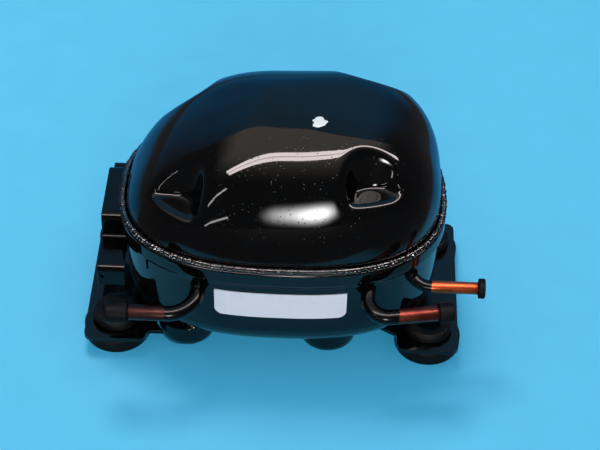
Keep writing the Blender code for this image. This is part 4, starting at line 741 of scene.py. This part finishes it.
def frontWall(x, z, proud=0.0):
    grow = wallOutset(z) + proud
    share = min(abs(x - shell["x"]) / (shell["halfLength"] + grow), 1.0)
    depth = (1 - share ** shell["squareness"]) ** (1 / shell["squareness"])
    return shell["y"] - (shell["halfWidth"] + grow) * depth


tubes = dict(exitZ=0.0600, runZ=0.0550, insert=0.0040, sides=40, bendSteps=18, lip=0.0002)
tubeRows = dict(
    process=dict(way=-1, exitIn=0.0422, slant=0.0, reach=0.0168, run=0.0434, toe=0.0, bend=0.0150,
                 radius=0.0040, bore=0.0031, paintTo=-0.0540, copper="dark"),
    suction=dict(way=1, exitIn=0.0372, slant=0.0, reach=0.0166, run=0.0414, toe=10.0, bend=0.0098,
                 radius=0.0040, bore=0.0031, paintTo=0.0665, copper="shadedCopper"),
    discharge=dict(way=1, exitIn=0.0140, slant=1.0, reach=0.0040, run=0.0343, toe=0.0, bend=0.0120,
                   radius=0.00325, bore=0.0025, paintTo=0.0836, copper="litCopper"))
# the three tubes are one copper; these tones are painted light and shade: the process and suction tubes'
# copper is painted darker as if in shade, the discharge tube's is painted brighter as if lit
copperLooks = dict(
    dark=dict(bright=(0.070, 0.028, 0.023, 1), dull=(0.043, 0.018, 0.016, 1), dark=(0.024, 0.011, 0.010, 1)),
    shadedCopper=dict(bright=(0.200, 0.044, 0.030, 1), dull=(0.130, 0.028, 0.020, 1), dark=(0.064, 0.016, 0.012, 1)),
    litCopper=dict(bright=(0.66, 0.122, 0.042, 1), dull=(0.55, 0.088, 0.030, 1), dark=(0.33, 0.048, 0.018, 1)))
tubePaint = dict(paint=(0.0012, 0.0012, 0.0013, 1), copperRoughness=0.40, paintRoughness=0.20,
                 stretch=(0.06, 1.0, 1.0))


def tubeWay(row):
    toe = math.radians(row["toe"])
    return Vector((row["way"] * math.cos(toe), math.sin(toe), 0))


def tubeRoute(row):
    exitX = shell["x"] + row["way"] * (shell["halfLength"] - row["exitIn"])
    z, step = tubes["exitZ"], 1e-4
    leave = Vector((exitX, frontWall(exitX, z), z))
    slope = (frontWall(exitX + step, z) - frontWall(exitX - step, z)) / (2 * step)
    outward = Vector((slope * row["slant"], -1, 0)).normalized()
    start = leave - outward * tubes["insert"]
    corner = leave + outward * (row["reach"] / -outward.y)
    corner.z = tubes["runZ"]
    end = corner + tubeWay(row) * ((exitX + row["way"] * row["run"] - corner.x) / tubeWay(row).x)
    back, ahead = (start - corner).normalized(), (end - corner).normalized()
    half = back.angle(ahead) / 2
    middle = corner + (back + ahead).normalized() * (row["bend"] / math.sin(half))
    setback = row["bend"] / math.tan(half)
    first, last = corner + back * setback - middle, corner + ahead * setback - middle
    arc = [middle + first.slerp(last, k / tubes["bendSteps"]).normalized() * row["bend"]
           for k in range(tubes["bendSteps"] + 1)]
    return [start, leave, *arc, end]


def copperTube(name, row):
    path = tubeRoute(row)
    lip = tubes["lip"]
    inward = (path[-2] - path[-1]).normalized()
    outer = sweepLoops(path[:-1] + [path[-1] + inward * lip, path[-1]],
                       [row["radius"]] * len(path) + [row["radius"] - lip], tubes["sides"])
    inner = sweepLoops(path[:-1] + [path[-1] + inward * lip, path[-1]],
                       [row["bore"]] * len(path) + [row["bore"] + lip], tubes["sides"])
    piece = loopPiece(name + "Tube", outer + inner[::-1], ring=True, sharpAngle=50)
    # each tube takes its own painted lit or shaded tone of the copper
    look = dict(copperLooks[row["copper"]], **tubePaint)
    finish = tubeFinish(name + "Copper", dict(look, edge=row["paintTo"], way=row["way"]))
    return dress(piece, finish, "shell", name + "_tube"), path[-1]


cap = dict(crown=0.0030, round=0.0012, fit=0.0002, process=(0.0058, 0.0085), suction=(0.0053, 0.0050))
stopper = dict(radius=0.0053, head=0.0037, stem=0.0080, round=0.0007, taper=0.0005)
tubeEnds = {name: copperTube(name, row)[1] for name, row in tubeRows.items()}
for name, body in (("process", "process_cap"), ("suction", "suction_cap")):
    row, (radius, grip) = tubeRows[name], cap[name]
    inner = row["radius"] + cap["fit"]
    profile = roundedPath([(0, cap["fit"], 0), (inner, cap["fit"], 0), (inner, -grip, 0.0003),
                           (radius, -grip, 0.0005), (radius, cap["crown"], cap["round"]),
                           (0, cap["crown"], 0)], steps=7)
    piece = turnedPiece(name + "Cap", profile, tubeEnds[name], tubeWay(row), sharpAngle=50)
    dress(piece, plugRubber, body, name + "_plug")
row = tubeRows["discharge"]
stemRadius = row["bore"] - cap["fit"]
profile = roundedPath([(0, -stopper["stem"], 0), (stemRadius - stopper["taper"], -stopper["stem"], 0.0004),
                       (stemRadius, cap["fit"], 0), (stopper["radius"], cap["fit"], 0.0005),
                       (stopper["radius"], stopper["head"], stopper["round"]),
                       (0, stopper["head"], 0)], steps=7)
piece = turnedPiece("dischargeStopper", profile, tubeEnds["discharge"], tubeWay(row), sharpAngle=50)
dress(piece, plugRubber, "discharge_stopper", "discharge_plug")
print("tubes and plugs made")


# Bracket round the terminal: a strip bent like a hat, its back edge following the wall
bracket = dict(middle=0.0020, sheet=0.0020, bendRound=0.0026, earHole=0.0016, holeIn=0.0030, edge=0.00035,
               halfTop=0.0210, earZ=0.0560, gap=0.0003, innerDepth=0.0020, wallZ=0.048, step=0.0025,
               holeReach=0.006)


def leftWall(y, z, proud=0.0):
    grow = wallOutset(z) + proud
    share = min(abs(y - shell["y"]) / (shell["halfWidth"] + grow), 1.0)
    depth = (1 - share ** shell["squareness"]) ** (1 / shell["squareness"])
    return shell["x"] - (shell["halfLength"] + grow) * depth


def hatBracket():
    low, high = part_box("terminal_bracket")
    k, t = bracket, bracket["sheet"]
    middleY, r = k["middle"], k["bendRound"]
    crown, earMiddle = k["halfTop"] - t / 2, k["earZ"] - t / 2
    corners = []
    for way, length in ((-1, middleY - low.y - t / 2), (1, high.y - middleY - t / 2)):
        side = [(way * length, low.z, 0), (way * length, earMiddle, r), (way * crown, earMiddle, r),
                (way * crown, high.z - t / 2, r)]
        corners += side[::-way]
    line = fillPath(roundedPath(corners, steps=8, closed=False), k["step"])
    ways = [(Vector(b) - Vector(a)).normalized() for a, b in zip(line, line[1:])]
    tangents = [ways[0]] + [(a + b).normalized() for a, b in zip(ways, ways[1:])] + [ways[-1]]
    backX = leftWall(middleY, k["wallZ"]) + k["innerDepth"]

    def section(thick):
        over = [Vector(p) + Vector((-w.y, w.x)) * thick / 2 for p, w in zip(line, tangents)]
        under = [Vector(p) - Vector((-w.y, w.x)) * thick / 2 for p, w in zip(line, tangents)]
        return over + under[::-1]

    full, thin = section(t), section(t - 2 * k["edge"])
    loops = [[Vector((low.x, middleY + p.x, p.y)) for p in thin],
             [Vector((low.x + k["edge"], middleY + p.x, p.y)) for p in full],
             [Vector((min(backX, leftWall(middleY + p.x, p.y, k["gap"])), middleY + p.x, p.y)) for p in full]]
    piece = loopPiece("terminalBracket", loops, sharpAngle=35)
    holeZ = (low.z + k["earZ"]) / 2
    hole, reach = k["earHole"], k["holeReach"]
    drill = [(0, -reach), (hole, -reach), (hole, reach), (0, reach)]
    for y in (low.y, high.y):
        cutWith(piece, turnedPiece("earHole", drill, (low.x + k["holeIn"], y, holeZ), (0, 1, 0), 40))
    piece.data.set_sharp_from_angle(angle=math.radians(35))
    return dress(piece, bracketPaint, "shell", "terminal_bracket")


hatBracket()
print("bracket made")


# Terminal: pressed steel header with three pins
terminal = dict(dish=0.0012, rimRound=0.0008, pinRadius=0.0012, collar=0.0021, collarHeight=0.0012,
                flange=0.0011, flangeThick=0.0022, dishIn=0.0030, rimIn=0.0016, sunk=0.0006)


def terminalHeader():
    low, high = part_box("terminal_header")
    place = (low.x, (low.y + high.y) / 2, (low.z + high.z) / 2)
    deep, flange = high.x - low.x, (high.z - low.z) / 2
    t, radius, step = terminal, flange - terminal["flange"], deep - terminal["flangeThick"]
    profile = roundedPath([(0, t["dish"], 0), (radius - t["dishIn"], t["dish"], 0.0008),
                           (radius - t["rimIn"], 0, 0.0006), (radius, 0, t["rimRound"]), (radius, step, 0),
                           (flange, step, 0.0003), (flange, deep, 0.0004), (0, deep, 0)], steps=5)
    dress(turnedPiece("terminalHeader", profile, place, (1, 0, 0), sharpAngle=50),
          innerFinish["terminal_steel"], "shell", "terminal_header")
    for node in ("upper_terminal_pin", "front_terminal_pin", "rear_terminal_pin"):
        pinLow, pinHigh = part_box(node)
        at = (pinLow.x, (pinLow.y + pinHigh.y) / 2, (pinLow.z + pinHigh.z) / 2)
        length, r, c = pinHigh.x - pinLow.x, t["pinRadius"], t["collar"]
        seatX = low.x + t["dish"] - pinLow.x
        profile = roundedPath([(0, 0, 0), (r, 0, 0.0006), (r, seatX - t["collarHeight"], 0.0003),
                               (c, seatX, 0.0004), (c, seatX + t["sunk"], 0), (r, seatX + t["sunk"], 0),
                               (r, length, 0.0004), (0, length, 0)], steps=5)
        piece = turnedPiece(node.split("_")[0] + "Pin", profile, at, (1, 0, 0), 32, sharpAngle=50)
        dress(piece, innerFinish["pin_metal"], "shell", node)


terminalHeader()
print("terminal made")


# Blank nameplate that follows the front wall, lower corners rounded
label = dict(left=-0.0295, right=0.0395, low=0.0420, high=0.0600, corner=0.0045, near=0.0003, thick=0.0005,
             columns=90, rows=14)


def namePlate():
    k, loops = label, []
    for c in range(k["columns"] + 1):
        share = (1 - math.cos(math.pi * c / k["columns"])) / 2
        x = k["left"] + share * (k["right"] - k["left"])
        inset = max(k["corner"] - min(x - k["left"], k["right"] - x), 0)
        low = k["low"] + k["corner"] - math.sqrt(max(k["corner"] ** 2 - inset ** 2, 0))
        heights = [low + (k["high"] - low) * r / k["rows"] for r in range(k["rows"] + 1)]
        far = [Vector((x, frontWall(x, z, k["near"] + k["thick"]), z)) for z in heights]
        loops.append(far + [Vector((x, frontWall(x, z, k["near"]), z)) for z in reversed(heights)])
    return dress(loopPiece("namePlate", loops, sharpAngle=50), labelWhite, "shell", "nameplate")


namePlate()
print("nameplate made")


# A dab of white paint on the crown
daub = dict(x=0.0218, y=-0.0190, halfX=0.0041, halfY=0.0031, thick=0.0003, rings=10, sides=48, seed=5,
            above=0.12, nearest=12, rows=160, inmost=0.98, steep=6, sink=0.00005, under=0.0002)


def crownDaub():
    outer = domeSkin(0.0, daub["rows"])[0]
    crown = outer[outer[:, 2] > daub["above"]]
    rng = np.random.default_rng(daub["seed"])
    waves = [(n, rng.uniform(0.05, 0.13), rng.uniform(0, fullTurn)) for n in (2, 3, 4, 5, 7)]

    def crownHeight(x, y):
        close = crown[np.argsort(np.hypot(crown[:, 0] - x, crown[:, 1] - y))[:daub["nearest"]]]
        flat = np.stack([close[:, 0] - x, close[:, 1] - y, np.ones(len(close))], axis=1)
        return float(np.linalg.lstsq(flat, close[:, 2], rcond=None)[0][2])

    loops = []
    for level in range(daub["rings"] + 1):
        share = level / daub["rings"]
        ring = []
        for s in range(daub["sides"]):
            angle = fullTurn * s / daub["sides"]
            ragged = 1 + sum(a * math.sin(n * angle + p) for n, a, p in waves)
            reach = 1 - share * daub["inmost"]
            x = daub["x"] + daub["halfX"] * ragged * reach * math.cos(angle)
            y = daub["y"] + daub["halfY"] * ragged * reach * math.sin(angle)
            swell = daub["thick"] * (1 - reach ** daub["steep"])
            ring.append(Vector((x, y, crownHeight(x, y) - daub["sink"] + swell)))
        loops.append(ring)
    under = [p - Vector((0, 0, daub["under"])) for p in loops[0]]
    return dress(loopPiece("crownDaub", [under] + loops), daubWhite, "shell", slot="label_white")


crownDaub()
print("paint daub made")


# Springs swept as coils and the discharge pipe copied from its solid, each with its inner finish
spring = dict(radius=0.0075, wire=0.0011, turns=4, steps=28, sides=12, closing=0.35, lift=0.0001)


def giveWithPump(piece, node):
    piece.data.materials.clear()
    piece.data.materials.append(innerFinish[slotOf[node]])
    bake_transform(piece)
    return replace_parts(piece, node)


def suspensionSpring(name, node):
    low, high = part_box(node)
    heart = sum(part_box(node + "_pin"), Vector()) / 2
    first, last = low.z + spring["wire"] + spring["lift"], high.z - spring["wire"]
    count, way = spring["turns"] * spring["steps"], []
    for step in range(count + 1):
        share, angle = step / count, fullTurn * step / spring["steps"]
        climb = share - spring["closing"] * math.sin(fullTurn * share) / fullTurn   # the end coils lie closer
        way.append((heart.x + spring["radius"] * math.cos(angle),
                    heart.y + spring["radius"] * math.sin(angle), first + (last - first) * climb))
    piece = loopPiece(name, sweepLoops(way, [spring["wire"]] * len(way), spring["sides"]), sharpAngle=60)
    return giveWithPump(piece, node)


def dischargePipe(node):
    piece = bpy.data.objects.new("dischargePipe", frame["nodes"][node].data.copy())
    bpy.context.collection.objects.link(piece)
    return giveWithPump(faceOutward(piece, 60), node)


giving = {node: suspensionSpring(name + "Spring", node)
          for name, node in (("frontLeft", "front_left_spring"), ("frontRight", "front_right_spring"),
                             ("rearLeft", "rear_left_spring"), ("rearRight", "rear_right_spring"))}
giving["discharge_line"] = dischargePipe("discharge_line")
print("giving pieces made:", len(giving))


# The other pieces inside the shell keep their solids and take their finish
hidden = [name for name in frame["nodes"] if slotOf[name] in innerFinish and name not in giving
          and not name.endswith("terminal_pin") and name != "terminal_header"]
for name in hidden:
    solid = frame["nodes"][name].data
    solid.materials.clear()
    solid.materials.append(innerFinish[slotOf[name]])
print("inner pieces finished:", len(hidden))


# Floor, lamps, surroundings and camera
floorLook = dict(size=8.0, backdrop=(0.125, 0.552, 0.855, 1), blue=(0.128, 0.446, 0.660, 1),
                 shade=(0.122, 0.424, 0.628, 1), glow=(0.0, 0.113, 0.205, 1), bounce=(0.40, 0.43, 0.47, 1),
                 behind=(0.035, 0.160, 0.390, 1), far=(0.035, 0.27, 0.60, 1), room=(0.080, 0.080, 0.085, 1),
                 nearLeft=0.135, nearRight=0.085, farLeft=0.26, farRight=0.24, front=-0.155, soft=0.05,
                 softLeft=0.35)


def studioFloor():
    # reflections see blue near the object and deeper blue behind it, with the dim room in front
    # and to the right; light bounces off the floor as off grey paper
    size, k = floorLook["size"] / 2, floorLook
    sheet = addMesh("floor", [(-size, -size, 0), (size, -size, 0), (size, size, 0), (-size, size, 0)],
                    [(0, 1, 2, 3)])
    finish, tree, shader, place = startFinish(
        "floorBlue", {"Specular IOR Level": 0.1, "Roughness": 0.9, "Emission Strength": 1.0})
    at = put(tree, "SeparateXYZ", {0: place}).outputs
    left = maths(tree, "SUBTRACT", maths(tree, "MULTIPLY", at[0], -1.0),
                 fade(tree, at[1], -0.04, 0.14, k["nearLeft"], k["farLeft"]))
    right = maths(tree, "SUBTRACT", at[0], fade(tree, at[1], -0.15, 0.14, k["nearRight"], k["farRight"]))
    softLeft = fade(tree, at[1], -0.04, 0.14, k["soft"], k["softLeft"])
    aside = maths(tree, "MULTIPLY", fade(tree, maths(tree, "DIVIDE", left, softLeft), 0.0, 1.0, 1.0, 0.0),
                  fade(tree, right, 0.0, k["soft"], 1.0, 0.0))
    onSheet = maths(tree, "MULTIPLY", aside, fade(tree, at[1], k["front"] - k["soft"] / 3, k["front"]))
    path = put(tree, "LightPath").outputs
    beyond = maths(tree, "MULTIPLY", maths(tree, "SUBTRACT", 1.0, onSheet), path["Is Glossy Ray"])
    deep = maths(tree, "MULTIPLY", fade(tree, at[1], -0.03, 0.10), path["Is Glossy Ray"])
    blue = mixColour(tree, fade(tree, noise(tree, place, 40.0, 4.0), 0.2, 0.8), k["blue"], k["shade"])
    blue = mixColour(tree, beyond, mixColour(tree, deep, blue, k["behind"]), (0, 0, 0, 1))
    feed(tree, shader, colour=mixColour(tree, path["Is Diffuse Ray"], blue, k["bounce"]))
    glow = mixColour(tree, beyond, k["glow"], k["room"])
    glow = mixColour(tree, path["Is Diffuse Ray"], glow, (0, 0, 0, 1))
    tree.links.new(glow, shader.inputs["Emission Color"])
    sheet.data.materials.append(finish)


# lamps: two ceiling tubes and two thin streaks for the reflections, a soft window in front, two soft boxes
aim = (0.0, 0.0, 0.08)
tubeLamp = dict(start=(-0.43, -0.47, 0.76), end=(0.87, 0.12, 0.76), width=0.048, apart=0.058, radiance=19.0,
                colour=(1.0, 0.86, 0.87))
streakLamps = (dict(start=(-0.945, -1.172, 0.510), end=(-0.645, -1.120, 0.957), width=0.050, radiance=9.0),
               dict(start=(-0.820, -1.330, 0.010), end=(-0.475, -1.475, 0.265), width=0.050, radiance=8.0))
window = dict(place=(0.05, -1.62, 0.36), wide=0.54, tall=0.90, radiance=42.0)
boxLamps = dict(rear=dict(place=(-0.18, 0.36, 1.15), size=0.38, radiance=14.5, colour=(1.0, 0.85, 0.80)),
                front=dict(place=(0.10, -1.30, 0.58), size=0.60, radiance=5.0))


def areaLamp(name, along, away, place, wide, tall, radiance, colour=(1, 1, 1)):
    light = bpy.data.lights.new(name, "AREA")
    light.shape, light.size, light.size_y = "RECTANGLE", wide, tall
    light.energy, light.color = 4 * wide * tall * radiance, colour
    lamp = bpy.data.objects.new(name, light)
    bpy.context.collection.objects.link(lamp)
    turned = Matrix((along, away.cross(along), away)).transposed().to_4x4()
    lamp.matrix_world = Matrix.Translation(place) @ turned
    lamp.visible_camera = False
    return lamp


def barLamp(name, row, shift=Vector()):
    first, last = Vector(row["start"]) + shift, Vector(row["end"]) + shift
    along, place = (last - first).normalized(), (first + last) / 2
    away = place - Vector(aim)
    away = (away - along * away.dot(along)).normalized()
    lamp = areaLamp(name, along, away, place, (last - first).length, row["width"], row["radiance"],
                    row.get("colour", (1, 1, 1)))
    lamp.visible_diffuse = False
    return lamp


def facingLamp(name, row, wide, tall):
    place = Vector(row["place"])
    away = (place - Vector(aim)).normalized()
    along = Vector((0, 0, 1)).cross(away).normalized()
    return areaLamp(name, along, away, place, wide, tall, row["radiance"], row.get("colour", (1, 1, 1)))


def studioLights():
    first, last = Vector(tubeLamp["start"]), Vector(tubeLamp["end"])
    across = Vector((first.y - last.y, last.x - first.x, 0)).normalized() * tubeLamp["apart"] / 2
    barLamp("frontTube", tubeLamp, -across)
    barLamp("rearTube", tubeLamp, across)
    for row in streakLamps:
        barLamp("streak", row)
    for name, row in boxLamps.items():
        facingLamp(name + "Box", row, row["size"], row["size"]).visible_glossy = False
    lamp = facingLamp("window", window, window["wide"], window["tall"])
    lamp.data.use_nodes = True   # the window fades out towards its edges
    tree = lamp.data.node_tree
    at = put(tree, "SeparateXYZ", {0: put(tree, "NewGeometry").outputs["Parametric"]}).outputs
    squares = [maths(tree, "POWER", maths(tree, "SUBTRACT", at[k], 0.5), 2.0) for k in (0, 1)]
    out = maths(tree, "SQRT", maths(tree, "ADD", *squares))
    glow = maths(tree, "POWER", fade(tree, out, 0.0, 0.5, 1.0, 0.0), 2.0)
    tree.links.new(glow, tree.nodes["Emission"].inputs["Strength"])
    lamp.visible_diffuse = False


# surroundings as reflections see them: blue behind, a warm pale ceiling that meets it, a dim room in front
surround = dict(ambient=(0.29, 0.45, 0.51, 1), highBlue=(0.18, 0.47, 0.76, 1), ceiling=(1.30, 1.13, 1.02, 1),
                edge=0.16, slope=0.62, ease=0.25)


def studioWorld():
    world = bpy.data.worlds.new("studio")
    world.use_nodes = True
    tree, k = world.node_tree, surround
    tree.nodes.clear()
    way = put(tree, "SeparateXYZ", {0: put(tree, "TexCoord").outputs["Generated"]}).outputs
    aside = maths(tree, "ABSOLUTE", way[0])
    bow = maths(tree, "SQRT", maths(tree, "ADD", maths(tree, "POWER", aside, 2.0), k["ease"] ** 2))
    bow = maths(tree, "MULTIPLY", maths(tree, "SUBTRACT", bow, k["ease"]), k["slope"])
    past = maths(tree, "SUBTRACT", maths(tree, "SUBTRACT", way[1], bow), k["edge"])
    overhead = maths(tree, "MULTIPLY", fade(tree, past, -0.95, -0.45),
                     fade(tree, aside, 0.45, 0.72, 1.0, 0.0))
    above = fade(tree, past, -0.012, 0.012)
    overhead = maths(tree, "MULTIPLY", overhead, maths(tree, "SUBTRACT", 1.0, above))
    mirrored = mixColour(tree, overhead, floorLook["room"], k["ceiling"])
    blue = mixColour(tree, fade(tree, way[2], 0.15, 0.95), floorLook["far"], k["highBlue"])
    sides = maths(tree, "MULTIPLY", fade(tree, way[0], -0.90, -0.45),
                  fade(tree, way[0], 0.40, 0.66, 1.0, 0.0))
    mirrored = mixColour(tree, maths(tree, "MULTIPLY", above, sides), mirrored, blue)
    path = put(tree, "LightPath").outputs
    colour = mixColour(tree, path["Is Glossy Ray"], k["ambient"], mirrored)
    seen = maths(tree, "ADD", path["Is Camera Ray"], path["Is Transmission Ray"], clamp=True)
    colour = mixColour(tree, seen, colour, floorLook["backdrop"])
    light = put(tree, "Background", {"Color": colour, "Strength": 1.0})
    tree.links.new(light.outputs[0], put(tree, "OutputWorld").inputs[0])
    bpy.context.scene.world = world


view = dict(target=(0.013040, 0.001777, 0.049899), distance=0.968010, azimuth=0.9132, elevation=42.2418,
            roll=1.655, lens=106.14, sensor=36.0, nearest=0.01)


def photoCamera():
    data = bpy.data.cameras.new("camera")
    data.lens, data.sensor_width, data.clip_start = view["lens"], view["sensor"], view["nearest"]
    azimuth, elevation, roll = (math.radians(view[w]) for w in ("azimuth", "elevation", "roll"))
    back = Vector((math.sin(azimuth) * math.cos(elevation), -math.cos(azimuth) * math.cos(elevation),
                   math.sin(elevation)))
    level = Vector((math.cos(azimuth), math.sin(azimuth), 0))
    upright = back.cross(level)
    right = level * math.cos(roll) + upright * math.sin(roll)
    up = upright * math.cos(roll) - level * math.sin(roll)
    camera = bpy.data.objects.new("camera", data)
    bpy.context.collection.objects.link(camera)
    turned = Matrix((right, up, back)).transposed().to_4x4()
    camera.matrix_world = Matrix.Translation(Vector(view["target"]) + back * view["distance"]) @ turned
    bpy.context.scene.camera = camera


studioFloor()
studioLights()
studioWorld()
photoCamera()
bpy.context.scene.view_settings.view_transform = "Standard"
print("studio and camera set")
